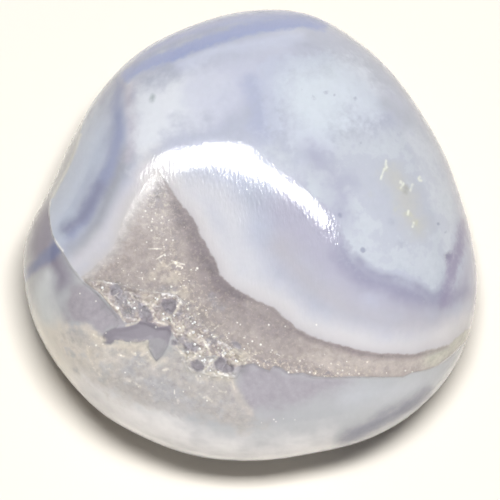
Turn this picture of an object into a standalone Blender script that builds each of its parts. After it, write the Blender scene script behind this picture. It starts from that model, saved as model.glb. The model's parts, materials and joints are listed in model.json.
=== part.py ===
"""Tumbled pebble of banded blue chalcedony with a crystal-lined gap under a ledge.

The stone is drawn in the frame of the main view: u to the right, v up the picture and w towards
the eye, in millimetres. It is then turned so that it lies on its flat underside, with +Z up.
"""

import math
import random

import bmesh
import bpy
import numpy as np
from mathutils import Vector, geometry, noise

MM = 0.001

# Overall form, in millimetres
OUTLINE_RADII = (
    14.80, 14.23, 14.20, 14.47, 15.00, 15.53, 15.30, 14.80,
    14.50, 14.07, 13.63, 13.75, 15.00, 15.35, 15.33, 15.13,
    14.90, 14.73, 14.60, 14.67, 15.27, 15.80, 16.00, 15.53,
)
FRONT_RISE = 10.06
BACK_RISE = 4.9
FRONT_ROUNDNESS = 2.17
BACK_ROUNDNESS = 2.3
LEAN = -0.29
VIEW_ELEVATION = math.radians(70)
REST_CUT = 0.28
WAVE_HEIGHT = 0.09
WAVE_LENGTH = 5.0

# Broad worn facets of the front: slope along u, slope along v, distance along w
FACETS = (
    (-0.21, 0.30, 11.05),
    (0.15, 0.30, 11.06),
    (-0.40, 0.23, 11.93),
    (-0.094, -0.094, 8.55),
)
FACET_SHARPNESS = 24

# Ledge between the upper layer and the lower layer, as (u, v)
LEDGE_STEP = 0.45
LEDGE_WIDTH = 0.42
LEDGE_WIDTH_IN_STRIP = 1.8
LEDGE_REACH = 3.2
LEDGE = (
    (-10.9, 8.6), (-11.5, 6.3), (-12.5, 3.8), (-13.1, 2.6), (-13.1, 1.1), (-12.7, -0.2),
    (-11.3, -2.2), (-9.0, -4.4), (-8.1, -5.4), (-6.1, -5.8), (-3.9, -7.5), (-1.0, -8.3),
    (1.3, -8.4), (4.1, -8.8), (8.2, -9.0), (10.6, -8.7), (12.3, -8.3), (14.3, -6.6), (17.0, -5.0),
)
BELOW_LEDGE = ((17.0, -20.0), (-20.0, -20.0), (-20.0, 8.6))

# Broken strip that the crystals line, and the open gap inside it, as (u, v)
STRIP_DEPTH = 0.8
STRIP_WALL = 0.24
STRIP = (
    (-10.8, -2.9), (-8.5, -3.2), (-6.6, -3.9), (-4.9, -3.8), (-4.1, -5.1), (-2.4, -6.9),
    (-0.7, -7.9), (-1.1, -9.0), (-3.6, -8.7), (-5.2, -7.6), (-6.2, -8.0), (-7.1, -6.9),
    (-9.5, -6.7), (-10.6, -5.3), (-11.5, -3.9),
)
GAP_DEPTH = 0.85
GAP_WALL = 0.45
GAP = (
    (-10.1, -5.4), (-8.2, -5.5), (-7.2, -5.1), (-5.2, -5.8), (-5.4, -6.9), (-6.1, -7.6),
    (-6.8, -6.5), (-8.3, -6.5), (-9.7, -6.3),
)

# Crystal crust
CRUST_INSET = 0.35
CRUST_THICKNESS = 0.4
CRUST_CLEARANCE = 0.24
CRUST_GAP_DEPTH = 0.5
CRUST_GAP_INSET = 0.12
CRYSTAL_RADIUS = (0.2, 0.36)
CRYSTAL_HEIGHT = (1.1, 1.9)
CRYSTAL_TRIES = 9000
CRYSTALS_INTO_GAP = 0.28

# Open pits that no crystal fills, as middle u, middle v and radius
PITS = ((-5.3, -4.4, 0.55), (-3.4, -8.0, 0.5), (-1.8, -8.2, 0.6))

SPHERE_DETAIL = 6
REFINED_BANDS = (0.8, 0.5, 0.32)
STONE_TRIANGLES = 7200
SEED = 11


def clear_scene():
    """Empty the scene of every object it opened with."""
    for item in list(bpy.data.objects):
        bpy.data.objects.remove(item, do_unlink=True)


def smooth_step(value):
    """Rise from 0 to 1 without a corner."""
    value = np.clip(value, 0.0, 1.0)
    return value * value * (3.0 - 2.0 * value)


def outline_radius(angle):
    """Radius of the outline at an angle round the line of sight."""
    radii = np.array(OUTLINE_RADII)
    count = len(radii)
    place = (angle / (2 * math.pi) * count) % count
    first = np.floor(place).astype(int)
    part = place - first
    before, start, end, after = (radii[(first + step) % count] for step in (-1, 0, 1, 2))
    bend = 2 * before - 5 * start + 4 * end - after
    twist = 3 * start - before - 3 * end + after
    return start + 0.5 * part * (end - before + part * (bend + part * twist))


def fullness(points):
    """Value that is 1 on the worn surface, below 1 inside and above 1 outside."""
    u, v, w = points[..., 0], points[..., 1], points[..., 2]
    across = np.hypot(u, v) / outline_radius(np.arctan2(v, u))
    front = w > 0
    rise = np.where(front, FRONT_RISE, BACK_RISE)
    roundness = np.where(front, FRONT_ROUNDNESS, BACK_ROUNDNESS)
    dome = (across ** roundness + (np.abs(w) / rise) ** roundness) ** (1 / roundness)
    total = dome ** FACET_SHARPNESS
    for slope_u, slope_v, distance in FACETS:
        reach = np.maximum(0.0, (slope_u * u + slope_v * v + w) / distance)
        total = total + reach ** FACET_SHARPNESS
    return total ** (1 / FACET_SHARPNESS)


def outward(points):
    """Unit normals of the worn surface at its points."""
    step = 0.05
    slopes = []
    for axis in range(3):
        shift = np.zeros(3)
        shift[axis] = step
        slopes.append((fullness(points + shift) - fullness(points - shift)) / (2 * step))
    normal = np.stack((slopes[0], slopes[1] - LEAN * slopes[2], slopes[2]), axis=-1)
    return normal / np.linalg.norm(normal, axis=-1, keepdims=True)


def distance_inside(points, corners):
    """Distance from points to the border of a closed outline, positive inside it."""
    u, v = points[..., 0], points[..., 1]
    nearest = np.full(u.shape, 1e9)
    inside = np.zeros(u.shape, bool)
    for (u0, v0), (u1, v1) in zip(corners, corners[1:] + corners[:1]):
        run_u, run_v = u1 - u0, v1 - v0
        along = ((u - u0) * run_u + (v - v0) * run_v) / (run_u * run_u + run_v * run_v)
        along = np.clip(along, 0.0, 1.0)
        nearest = np.minimum(nearest, np.hypot(u - u0 - along * run_u, v - v0 - along * run_v))
        crosses = (v0 > v) != (v1 > v)
        level = np.where(crosses, (v - v0) / (run_v if run_v else 1.0), 0.0)
        inside ^= crosses & (u < u0 + level * run_u)
    return np.where(inside, nearest, -nearest)


def ledge_depth(points):
    """Depth of the lower layer under the upper one, measured along the normal."""
    below = distance_inside(points, LEDGE + BELOW_LEDGE)
    strip = smooth_step(distance_inside(points, STRIP) / STRIP_WALL)
    width = LEDGE_WIDTH + (LEDGE_WIDTH_IN_STRIP - LEDGE_WIDTH) * strip
    step = smooth_step((below + 0.6 * strip) / width)
    step = step * np.exp(-np.maximum(below, 0.0) / LEDGE_REACH)
    on_front = smooth_step(0.5 + points[..., 2] / 4.0)
    on_side = 0.25 + 0.75 * smooth_step((3.5 - points[..., 1]) / 3.0)
    return LEDGE_STEP * step * on_front * on_side


def hollow_depth(points):
    """Depth of the broken strip and the gap in it, measured along the line of sight."""
    strip = smooth_step(distance_inside(points, STRIP) / STRIP_WALL)
    gap = smooth_step(distance_inside(points, GAP) / GAP_WALL)
    return STRIP_DEPTH * strip + GAP_DEPTH * gap


def wave_height(points):
    """Slight unevenness of the polish, measured along the normal."""
    return WAVE_HEIGHT * np.array([noise.noise(Vector(point) / WAVE_LENGTH) for point in points])


def surface_height(points):
    """Height w of the worn front surface, ledge included, over points (u, v)."""
    low = np.zeros(len(points))
    high = np.full(len(points), FRONT_RISE + 2)
    for _ in range(30):
        middle = (low + high) / 2
        under = fullness(np.column_stack((points, middle))) < 1
        low = np.where(under, middle, low)
        high = np.where(under, high, middle)
    surface = np.column_stack((points, low))
    return low + LEAN * points[:, 1] + wave_height(surface) - ledge_depth(surface)


def worn_surface(directions):
    """Points of the finished stone, in the view frame, for directions from its middle."""
    points = directions / fullness(directions)[:, None]
    normals = outward(points)
    in_front = points[:, 2] > 0
    sink = ledge_depth(points)
    hollow = np.where(in_front, hollow_depth(points), 0.0)
    moved = points + normals * (wave_height(points) - sink)[:, None]
    moved[:, 2] += LEAN * points[:, 1] - hollow
    return moved


def to_world(points):
    """Turn points of the view frame so that the line of sight stands at the view's elevation."""
    sine, cosine = math.sin(VIEW_ELEVATION), math.cos(VIEW_ELEVATION)
    x = points[:, 0]
    y = points[:, 1] * sine - points[:, 2] * cosine
    z = points[:, 1] * cosine + points[:, 2] * sine
    return np.column_stack((x, y, z)) * MM


def finish(name, mesh, colour, roughness):
    """Put a mesh in the scene under its name, with its own material."""
    material = bpy.data.materials.new(name)
    material.use_nodes = True
    shader = material.node_tree.nodes["Principled BSDF"]
    shader.inputs["Base Color"].default_value = (*colour, 1.0)
    shader.inputs["Roughness"].default_value = roughness
    shader.inputs["Metallic"].default_value = 0.0
    mesh.materials.clear()
    mesh.materials.append(material)
    item = bpy.data.objects.new(name, mesh)
    bpy.context.scene.collection.objects.link(item)
    return item


def edge_distance(directions):
    """Distance along the front from each direction to the nearest ledge, strip or gap edge."""
    points = directions / fullness(directions)[:, None]
    nearest = np.abs(distance_inside(points, LEDGE + BELOW_LEDGE) - LEDGE_WIDTH / 2)
    nearest = np.minimum(nearest, np.abs(distance_inside(points, STRIP) - STRIP_WALL / 2))
    nearest = np.minimum(nearest, np.abs(distance_inside(points, GAP) - GAP_WALL / 2))
    return np.where(points[:, 2] > -2.5, nearest, 1e9)


def unit_directions(shape):
    """Directions of a sphere's vertices, as an array."""
    directions = np.array([vertex.co[:] for vertex in shape.verts])
    return directions / np.linalg.norm(directions, axis=1, keepdims=True)


def stone_mesh():
    """Closed mesh of the stone: worn form, thinned to flat facets, with its flat underside."""
    shape = bmesh.new()
    bmesh.ops.create_icosphere(shape, subdivisions=SPHERE_DETAIL, radius=1.0)
    for band in REFINED_BANDS:
        near = edge_distance(unit_directions(shape)) < band
        cut = [edge for edge in shape.edges if near[edge.verts[0].index] or near[edge.verts[1].index]]
        bmesh.ops.subdivide_edges(shape, edges=cut, cuts=1)
        bmesh.ops.triangulate(shape, faces=shape.faces)
        shape.verts.index_update()
    world = to_world(worn_surface(unit_directions(shape)))
    for vertex, place in zip(shape.verts, world):
        vertex.co = place
    mesh = bpy.data.meshes.new("worn_form")
    shape.to_mesh(mesh)
    shape.free()
    form = bpy.data.objects.new("worn_form", mesh)
    bpy.context.scene.collection.objects.link(form)
    thin = form.modifiers.new("thin", "DECIMATE")
    thin.ratio = STONE_TRIANGLES / len(mesh.polygons)
    bpy.context.view_layer.update()
    graph = bpy.context.evaluated_depsgraph_get()
    thinned = bpy.data.meshes.new_from_object(form.evaluated_get(graph))
    bpy.data.objects.remove(form, do_unlink=True)
    bottom = world[:, 2].min() + REST_CUT * MM
    cut_flat(thinned, bottom)
    return thinned, bottom


def cut_flat(mesh, level):
    """Cut a mesh off below a level and close it with one flat face."""
    shape = bmesh.new()
    shape.from_mesh(mesh)
    everything = list(shape.verts) + list(shape.edges) + list(shape.faces)
    cut = bmesh.ops.bisect_plane(
        shape, geom=everything, dist=1e-7, plane_co=(0, 0, level), plane_no=(0, 0, 1),
        clear_inner=True,
    )
    rim = [item for item in cut["geom_cut"] if isinstance(item, bmesh.types.BMEdge)]
    for vertex in {vertex for edge in rim for vertex in edge.verts}:
        vertex.co.z = level
    bmesh.ops.contextual_create(shape, geom=rim)
    bmesh.ops.recalc_face_normals(shape, faces=shape.faces)
    shape.to_mesh(mesh)
    shape.free()


def crystal_places(rng):
    """Spread crystal middles over the strip, none nearer its border or the next than fits."""
    corners = np.array(STRIP)
    low, high = corners.min(axis=0), corners.max(axis=0)
    kept = []
    for _ in range(CRYSTAL_TRIES):
        radius = rng.uniform(*CRYSTAL_RADIUS)
        place = (rng.uniform(low[0], high[0]), rng.uniform(low[1], high[1]))
        point = np.array([place])
        if distance_inside(point, STRIP)[0] < CRUST_INSET + radius + 0.03:
            continue
        if distance_inside(point, GAP)[0] > CRYSTALS_INTO_GAP:
            continue
        if any(math.dist(place, pit[:2]) < pit[2] for pit in PITS):
            continue
        if all(math.dist(place, other[:2]) > radius + other[2] + 0.03 for other in kept):
            kept.append((*place, radius))
    return kept


def inset_outline(corners, inset):
    """Outline moved inwards, with a point about every millimetre."""
    ring = []
    for index, corner in enumerate(corners):
        last, after = corners[index - 1], corners[(index + 1) % len(corners)]
        one = Vector((corner[0] - last[0], corner[1] - last[1])).normalized()
        two = Vector((after[0] - corner[0], after[1] - corner[1])).normalized()
        side = Vector((one.y + two.y, -one.x - two.x))
        side *= inset / (1 + one.dot(two))
        ring.append(Vector(corner) + side)
    dense = []
    for index, start in enumerate(ring):
        end = ring[(index + 1) % len(ring)]
        pieces = max(1, round((end - start).length))
        dense += [start.lerp(end, step / pieces) for step in range(pieces)]
    return dense


def loop_edges(start, count):
    """Edges that join a run of points into a closed loop."""
    return [(start + index, start + (index + 1) % count) for index in range(count)]


def add_crystal(flat, edges, lift, place, rng):
    """Add one pointed six-sided crystal: its foot, its shoulder and its tip."""
    middle, radius = Vector(place[:2]), place[2]
    height = rng.uniform(*CRYSTAL_HEIGHT) * radius
    lean = Vector((rng.uniform(-0.3, 0.3), rng.uniform(-0.3, 0.3))) * radius
    turn = rng.uniform(0, math.pi / 3)
    for share, rise in ((1.0, 0.0), (0.72, 0.62)):
        edges += loop_edges(len(flat), 6)
        for side in range(6):
            angle = turn + side * math.pi / 3
            spoke = Vector((math.cos(angle), math.sin(angle))) * radius * share
            flat.append(middle + spoke + lean * rise)
            lift.append(rise * height)
    flat.append(middle + lean)
    lift.append(height)


def bed_depth(spots):
    """Depth of the crust's underside below the worn surface."""
    gap = smooth_step((distance_inside(spots, GAP) - CRUST_GAP_INSET) / GAP_WALL)
    return STRIP_DEPTH - CRUST_CLEARANCE + CRUST_GAP_DEPTH * gap


def add_layer(shape, flat, edges, lift, thickness, face_up):
    """Add one side of the crust to a mesh and return the vertices of its border, in order."""
    plane, _, faces, origins, _, _ = geometry.delaunay_2d_cdt(flat, edges, [], 1, 1e-5)
    spots = np.array([point[:] for point in plane])
    raised = np.array([lift[origin[0]] if origin else 0.0 for origin in origins])
    height = surface_height(spots) - bed_depth(spots) + thickness + raised
    corners = [shape.verts.new(place) for place in to_world(np.column_stack((spots, height)))]
    for face in faces:
        shape.faces.new([corners[index] for index in (face if face_up else reversed(face))])
    found = {index: corners[new] for new, origin in enumerate(origins) for index in origin}
    return found


def crust_mesh():
    """Closed mesh of the crust: a thin bed with a pointed six-sided crystal at each place."""
    rng = random.Random(SEED)
    border = inset_outline(STRIP, CRUST_INSET)
    flat, edges = list(border), loop_edges(0, len(border))
    for inset in (0.05, CRUST_GAP_INSET + GAP_WALL):
        flat += inset_outline(GAP, inset)
    shape = bmesh.new()
    under = add_layer(shape, flat, edges, [0.0] * len(flat), 0.0, False)
    flat, edges = list(border), loop_edges(0, len(border))
    flat += inset_outline(GAP, CRUST_GAP_INSET + GAP_WALL)
    lift = [0.0] * len(flat)
    for place in crystal_places(rng):
        add_crystal(flat, edges, lift, place, rng)
    over = add_layer(shape, flat, edges, lift, CRUST_THICKNESS, True)
    for one, two in loop_edges(0, len(border)):
        shape.faces.new([over[two], over[one], under[one], under[two]])
    loose = [vertex for vertex in shape.verts if not vertex.link_faces]
    bmesh.ops.delete(shape, geom=loose, context="VERTS")
    bmesh.ops.recalc_face_normals(shape, faces=shape.faces)
    mesh = bpy.data.meshes.new("druzy_quartz_crust")
    shape.to_mesh(mesh)
    shape.free()
    return mesh


def main():
    """Build the stone and the crust, standing on the floor over the origin."""
    clear_scene()
    stone, bottom = stone_mesh()
    crust = crust_mesh()
    places = np.array([vertex.co[:] for vertex in stone.vertices])
    middle = (places.min(axis=0) + places.max(axis=0)) / 2
    for mesh in (stone, crust):
        for vertex in mesh.vertices:
            vertex.co -= Vector((middle[0], middle[1], bottom))
    finish("agate_stone", stone, (0.60, 0.62, 0.72), 0.16)
    finish("druzy_quartz_crust", crust, (0.62, 0.57, 0.52), 0.25)


main()
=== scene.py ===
"""Visual model of a tumbled, polished pebble of banded blue chalcedony with a drusy quartz seam.

The stone is drawn in the frame of the main view: u to the right, v up the picture and w towards
the eye, in millimetres from the stone's middle. It is then turned so that it lies on its flat
underside with +Z up, in the frame of the part.
"""

from __future__ import annotations

import json
import logging
import math
from collections.abc import Callable
from dataclasses import dataclass, field
from enum import Enum

import bmesh
import bpy
import numpy as np
from mathutils import Matrix, Vector, noise

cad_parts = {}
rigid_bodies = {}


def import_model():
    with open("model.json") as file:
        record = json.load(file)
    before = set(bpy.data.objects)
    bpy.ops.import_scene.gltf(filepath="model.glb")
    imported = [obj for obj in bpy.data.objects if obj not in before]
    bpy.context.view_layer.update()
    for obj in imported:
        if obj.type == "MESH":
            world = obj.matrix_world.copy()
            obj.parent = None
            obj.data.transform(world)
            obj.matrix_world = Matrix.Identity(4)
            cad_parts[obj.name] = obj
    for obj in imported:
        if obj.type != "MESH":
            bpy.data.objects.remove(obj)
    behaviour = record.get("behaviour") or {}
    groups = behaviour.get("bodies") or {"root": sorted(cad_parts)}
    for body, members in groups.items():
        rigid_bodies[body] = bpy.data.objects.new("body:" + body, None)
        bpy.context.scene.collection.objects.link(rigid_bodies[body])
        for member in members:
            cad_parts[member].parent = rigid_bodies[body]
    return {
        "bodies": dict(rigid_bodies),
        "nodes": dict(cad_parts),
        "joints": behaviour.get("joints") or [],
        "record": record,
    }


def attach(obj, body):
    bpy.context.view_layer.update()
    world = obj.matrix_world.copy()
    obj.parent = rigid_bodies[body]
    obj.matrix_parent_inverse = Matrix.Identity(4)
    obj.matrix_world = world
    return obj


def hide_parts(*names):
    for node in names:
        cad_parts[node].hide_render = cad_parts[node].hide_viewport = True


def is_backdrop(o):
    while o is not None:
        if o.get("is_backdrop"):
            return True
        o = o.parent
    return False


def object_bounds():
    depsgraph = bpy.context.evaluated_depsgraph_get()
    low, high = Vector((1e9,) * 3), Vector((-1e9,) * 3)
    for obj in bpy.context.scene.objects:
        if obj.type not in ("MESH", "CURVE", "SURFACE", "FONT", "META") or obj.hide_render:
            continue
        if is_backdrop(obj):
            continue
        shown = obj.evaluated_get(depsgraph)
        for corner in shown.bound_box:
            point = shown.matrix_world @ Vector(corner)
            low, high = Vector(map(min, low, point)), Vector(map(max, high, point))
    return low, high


LOG = logging.getLogger("agate")
MM = 0.001
Point = tuple[float, float]
Triple = tuple[float, float, float]
Outline = tuple[Point, ...]
Colour = tuple[float, float, float]
Shade = tuple[int, int, int]
Array = np.ndarray
Socket = bpy.types.NodeSocket
Outputs = bpy.types.NodeOutputs
QUARTZ_IOR = 1.54
SCATTER_RADIUS: Colour = (1.0, 0.92, 1.0)


def linear(red: int, green: int, blue: int) -> Colour:
    """Turn an eight-bit display colour into the linear colour that shaders take."""
    def channel(value: int) -> float:
        share = value / 255
        return share / 12.92 if share <= 0.04045 else ((share + 0.055) / 1.055) ** 2.4

    return channel(red), channel(green), channel(blue)


def smooth_step(value: Array) -> Array:
    """Rise from 0 to 1 without a corner."""
    value = np.clip(value, 0.0, 1.0)
    return value * value * (3.0 - 2.0 * value)


def noise_field(points: Array, wavelength: float, shift: float = 0.0) -> Array:
    """Smooth random field over points.

    Args:
        points: Places in millimetres, one row each.
        wavelength: Distance over which the field changes, in millimetres.
        shift: Offset that picks another part of the field.

    Returns:
        One value of about -1 to 1 for each point.
    """
    return np.array([noise.noise(Vector(row) / wavelength + Vector((shift,) * 3)) for row in points])


def distance_to_line(points: Array, corners: Outline, closed: bool) -> Array:
    """Distance in the picture plane from points to a line.

    Args:
        points: Places, one row each, of which u and v are used.
        corners: Corners of the line.
        closed: Whether the line closes on itself.

    Returns:
        For a closed line the signed distance, positive inside, else the plain distance.
    """
    u, v = points[:, 0], points[:, 1]
    nearest = np.full(len(points), 1e9)
    inside = np.zeros(len(points), bool)
    ends = corners[1:] + corners[:1] if closed else corners[1:]
    for (u0, v0), (u1, v1) in zip(corners, ends):
        run_u, run_v = u1 - u0, v1 - v0
        along = np.clip(((u - u0) * run_u + (v - v0) * run_v) / (run_u**2 + run_v**2), 0.0, 1.0)
        nearest = np.minimum(nearest, np.hypot(u - u0 - along * run_u, v - v0 - along * run_v))
        crosses = (v0 > v) != (v1 > v)
        level = np.where(crosses, (v - v0) / (run_v if run_v else 1.0), 0.0)
        inside ^= crosses & (u < u0 + level * run_u)
    return np.where(inside, nearest, -nearest) if closed else nearest


def share_inside(points: Array, outline: Outline, wall: float) -> Array:
    """Share that rises from 0 on an outline to 1 at a wall's width inside it."""
    return smooth_step(distance_to_line(points, outline, True) / wall)


def shifted(line: Outline, right: float, up: float) -> Outline:
    """The same line, moved in the picture plane."""
    return tuple((u + right, v + up) for u, v in line)


STRIP: Outline = (
    (-10.8, -2.6), (-9.87, -2.67), (-8.8, -2.87), (-6.67, -3.4), (-4.93, -3.53), (-3.87, -4.53),
    (-2.8, -5.87), (-1.73, -6.73), (-0.47, -7.53), (-0.6, -8.4), (-0.93, -9), (-2.4, -8.93),
    (-3.07, -8.73), (-4.13, -8.53), (-4.6, -7.47), (-5, -7.13), (-5.4, -6.87), (-5.73, -7.47),
    (-6.13, -7.87), (-6.33, -7.6), (-6.67, -7), (-6.53, -6.47), (-6.8, -6.6), (-7.33, -6.67), (-8, -6.63),
    (-8.8, -6.53), (-9.13, -6.8), (-9.53, -6.73), (-9.6, -6.33), (-9.33, -6), (-8.8, -5.8), (-8.55, -5.5),
    (-8.8, -4.93), (-9.27, -4.4), (-9.73, -3.87), (-10.2, -3.33),
)
GAP: Outline = STRIP[27:15:-1] + (
    (-5.2, -6.2), (-5.2, -5.6), (-5.6, -5.67), (-6, -5.73), (-6.27, -5.47), (-6.87, -5.33), (-7.27, -5.33),
    (-7.4, -5.53), (-8, -5.67),
) + STRIP[30:27:-1]
TOOTH: Outline = GAP[6:12] + ((-5.55, -6.55), (-6, -6.4))
PITS: tuple[tuple[float, Outline], ...] = (
    (0.06, ((-5.67, -3.87), (-4.87, -3.93), (-4.8, -4.53), (-5.13, -4.87), (-5.53, -4.67), (-5.83, -4.2))),
    (0.03, ((-7.33, -4.13), (-6.87, -4.33), (-6.47, -4.8), (-6.33, -5.2), (-6.87, -5.47), (-7.2, -5))),
    (0.05, ((-3.89, -7.87), (-3.47, -7.8), (-3, -8.2), (-3.07, -8.53), (-3.47, -8.6), (-3.83, -8.27))),
    (0.05, ((-2.33, -8), (-1.93, -7.6), (-1.47, -7.67), (-1.07, -8), (-1.07, -8.53), (-1.53, -8.67),
            (-2.2, -8.47))),
    (0.04, ((-5.13, -6.53), (-4.8, -6.53), (-4.8, -6.87), (-5.13, -6.8))),
    (0.04, ((-1.2, -6.67), (-0.8, -6.67), (-0.53, -7), (-0.67, -7.13), (-1.07, -6.93))),
    (0.03, ((-9.2, -3.07), (-8.73, -2.93), (-8.33, -3.33), (-8.6, -3.8), (-9.07, -3.6))),
    (0.03, ((-4.33, -6.8), (-3.73, -6.73), (-3.4, -7), (-3.67, -7.27), (-4.2, -7.2))),
)
ROUGH: Outline = STRIP[:16] + (
    (-5.2, -6.4), (-5.33, -5.73), (-6, -5.47), (-7.33, -5.33), (-8.4, -5.33),
) + STRIP[-4:]


@dataclass(frozen=True)
class WornForm:
    """Rounded form of the tumbled pebble, before its ledge and hollow.

    The outline is seen along w. Broad facets are planes with soft ridges between them.
    """

    outline_radii: tuple[float, ...] = (
        14.8, 14.26, 14.23, 14.54, 15.1, 15.66, 15.45, 14.96,
        14.63, 14.16, 13.7, 13.78, 15.0, 15.35, 15.33, 15.13,
        14.9, 14.73, 14.6, 14.67, 15.27, 15.8, 16.0, 15.53,
    )
    front_rise: float = 10.06
    back_rise: float = 4.9
    front_roundness: float = 2.17
    back_roundness: float = 2.3
    lean: float = -0.29
    facets: tuple[Triple, ...] = (
        (-0.21, 0.3, 11.05), (0.15, 0.3, 11.06), (-0.4, 0.23, 11.93), (-0.094, -0.094, 8.55),
    )
    sharpness: float = 24.0
    wave_height: float = 0.09
    wave_length: float = 5.0

    def outline_radius(self, angle: Array) -> Array:
        """Radius of the outline at angles round the line of sight."""
        radii = np.array(self.outline_radii)
        count = len(radii)
        place = (angle / (2 * math.pi) * count) % count
        first = np.floor(place).astype(int)
        part = place - first
        before, start, end, after = (radii[(first + step) % count] for step in (-1, 0, 1, 2))
        bend = 2 * before - 5 * start + 4 * end - after
        twist = 3 * start - before - 3 * end + after
        return start + 0.5 * part * (end - before + part * (bend + part * twist))

    def fullness(self, points: Array) -> Array:
        """Value that is 1 on the worn surface, below 1 inside and above 1 outside."""
        u, v, w = points[:, 0], points[:, 1], points[:, 2]
        across = np.hypot(u, v) / self.outline_radius(np.arctan2(v, u))
        front = w > 0
        rise = np.where(front, self.front_rise, self.back_rise)
        power = np.where(front, self.front_roundness, self.back_roundness)
        dome = (across**power + (np.abs(w) / rise) ** power) ** (1 / power)
        total = dome**self.sharpness
        for slope_u, slope_v, distance in self.facets:
            reach = np.maximum(0.0, (slope_u * u + slope_v * v + w) / distance)
            total = total + reach**self.sharpness
        return total ** (1 / self.sharpness)

    def on_surface(self, directions: Array) -> Array:
        """Points of the worn surface in directions from the stone's middle."""
        return directions / self.fullness(directions)[:, None]

    def outward(self, points: Array) -> Array:
        """Unit normals of the worn surface, its lean included."""
        step = 0.05
        slopes = []
        for axis in range(3):
            shift = np.zeros(3)
            shift[axis] = step
            slopes.append((self.fullness(points + shift) - self.fullness(points - shift)) / (2 * step))
        normal = np.stack((slopes[0], slopes[1] - self.lean * slopes[2], slopes[2]), axis=-1)
        return normal / np.linalg.norm(normal, axis=-1, keepdims=True)

    def front_points(self, spots: Array) -> Array:
        """Points of the worn front surface over places (u, v) in the picture plane."""
        halvings = 28
        low = np.zeros(len(spots))
        high = np.full(len(spots), self.front_rise + 2)
        for _ in range(halvings):
            middle = (low + high) / 2
            under = self.fullness(np.column_stack((spots, middle))) < 1
            low = np.where(under, middle, low)
            high = np.where(under, high, middle)
        return np.column_stack((spots, low))

    def waves(self, points: Array) -> Array:
        """Slight unevenness of the polish, along the normal."""
        return self.wave_height * noise_field(points, self.wave_length)


@dataclass(frozen=True)
class Ledge:
    """Step from the upper layer of the stone down to the lower one."""

    line: Outline = (
        (-10.93, 8.53), (-11.27, 7.27), (-11.53, 6.2), (-11.93, 4.93), (-12.6, 3.67), (-13.1, 2.67),
        (-13.2, 1.9), (-13.13, 1.13), (-13, 0.47), (-12.73, -0.13), (-12.33, -0.67), (-11.73, -1.67),
        (-10.8, -2.73), (-9.8, -3.47), (-9, -4.4), (-8.47, -5), (-8, -5.4), (-7.27, -5.27), (-6.73, -5.33),
        (-6.13, -5.63), (-5.33, -5.67), (-4.67, -6.53), (-3.87, -7.33), (-2.93, -7.53), (-2.27, -7.47),
        (-1.6, -7.73), (-1, -8.27), (-0.6, -8.13), (0.27, -8), (0.73, -8.27), (1.27, -8.47), (1.53, -8.13),
        (2, -8.27), (2.6, -8.67), (3.47, -8.6), (4.13, -8.85), (5.67, -8.93), (6.47, -8.85), (8.2, -8.9),
        (10, -8.9), (10.6, -8.63), (11.47, -8.5), (12.27, -8.23), (13.33, -7.47), (14.33, -6.57),
        (15.4, -5.6), (17, -4.6),
    )
    below: Outline = ((17, -20), (-20, -20), (-20, 8.53))
    step: float = 0.2
    step_right: float = 0.12
    right_start: float = -12.4
    right_fade: float = 1.6
    width: float = 0.22
    reach: float = 3.2
    front_fade: float = 4.0
    side_share: float = 0.25
    side_top: float = 3.5
    side_fade: float = 3.0

    def distance(self, points: Array) -> Array:
        """Signed distance from the ledge's edge, positive over the lower layer."""
        return distance_to_line(points, self.line + self.below, True)

    def depth(self, points: Array, below: Array) -> Array:
        """Depth of the lower layer along the normal.

        Args:
            points: Places on the worn surface.
            below: Their signed distance from the ledge's edge.

        Returns:
            One depth for each point, in millimetres.
        """
        step = smooth_step(below / self.width) * np.exp(-np.maximum(below, 0.0) / self.reach)
        on_front = smooth_step(0.5 + points[:, 2] / self.front_fade)
        low = smooth_step((self.side_top - points[:, 1]) / self.side_fade)
        on_side = self.side_share + (1 - self.side_share) * low
        right = smooth_step((points[:, 0] - self.right_start) / self.right_fade)
        rise = self.step + (self.step_right - self.step) * right
        return rise * step * on_front * on_side


@dataclass(frozen=True)
class Hollow:
    """Broken strip along the ledge, the open gap in it and the pits beside it."""

    strip: Outline = STRIP
    gap: Outline = GAP
    pits: tuple[tuple[float, Outline], ...] = PITS
    bed_depth: float = 0.035
    bed_wall: float = 0.3
    rough_wall: float = 0.6
    trough_depth: float = 0.8
    trough_wall: float = 0.4
    gap_depth: float = 0.035
    gap_wall: float = 0.3
    pit_wall: float = 0.24

    def inside(self, points: Array) -> Array:
        """Signed distance from the strip's border, positive inside it."""
        return distance_to_line(points, self.strip, True)

    def gap_share(self, points: Array) -> Array:
        """Share of the gap's full depth, from 0 outside to 1 on its floor."""
        return share_inside(points, self.gap, self.gap_wall)

    def open_depth(self, points: Array) -> Array:
        """Depth of the gap and the pits, along the line of sight."""
        gap = self.gap_share(points)
        depth = self.gap_depth * gap
        for deep, outline in self.pits:
            depth = depth + deep * (1 - gap) * share_inside(points, outline, self.pit_wall)
        return depth

    def trough(self, points: Array) -> Array:
        """Depth that the stone leaves for the crust, along the line of sight."""
        walls = share_inside(points, self.strip, self.trough_wall)
        return self.trough_depth * walls + self.open_depth(points)

    def bed(self, points: Array) -> Array:
        """Depth of the crust's own surface, along the line of sight."""
        rough = share_inside(points, ROUGH, self.rough_wall)
        walls = share_inside(points, self.strip, self.bed_wall)
        return self.bed_depth * rough * walls + self.open_depth(points)


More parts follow.
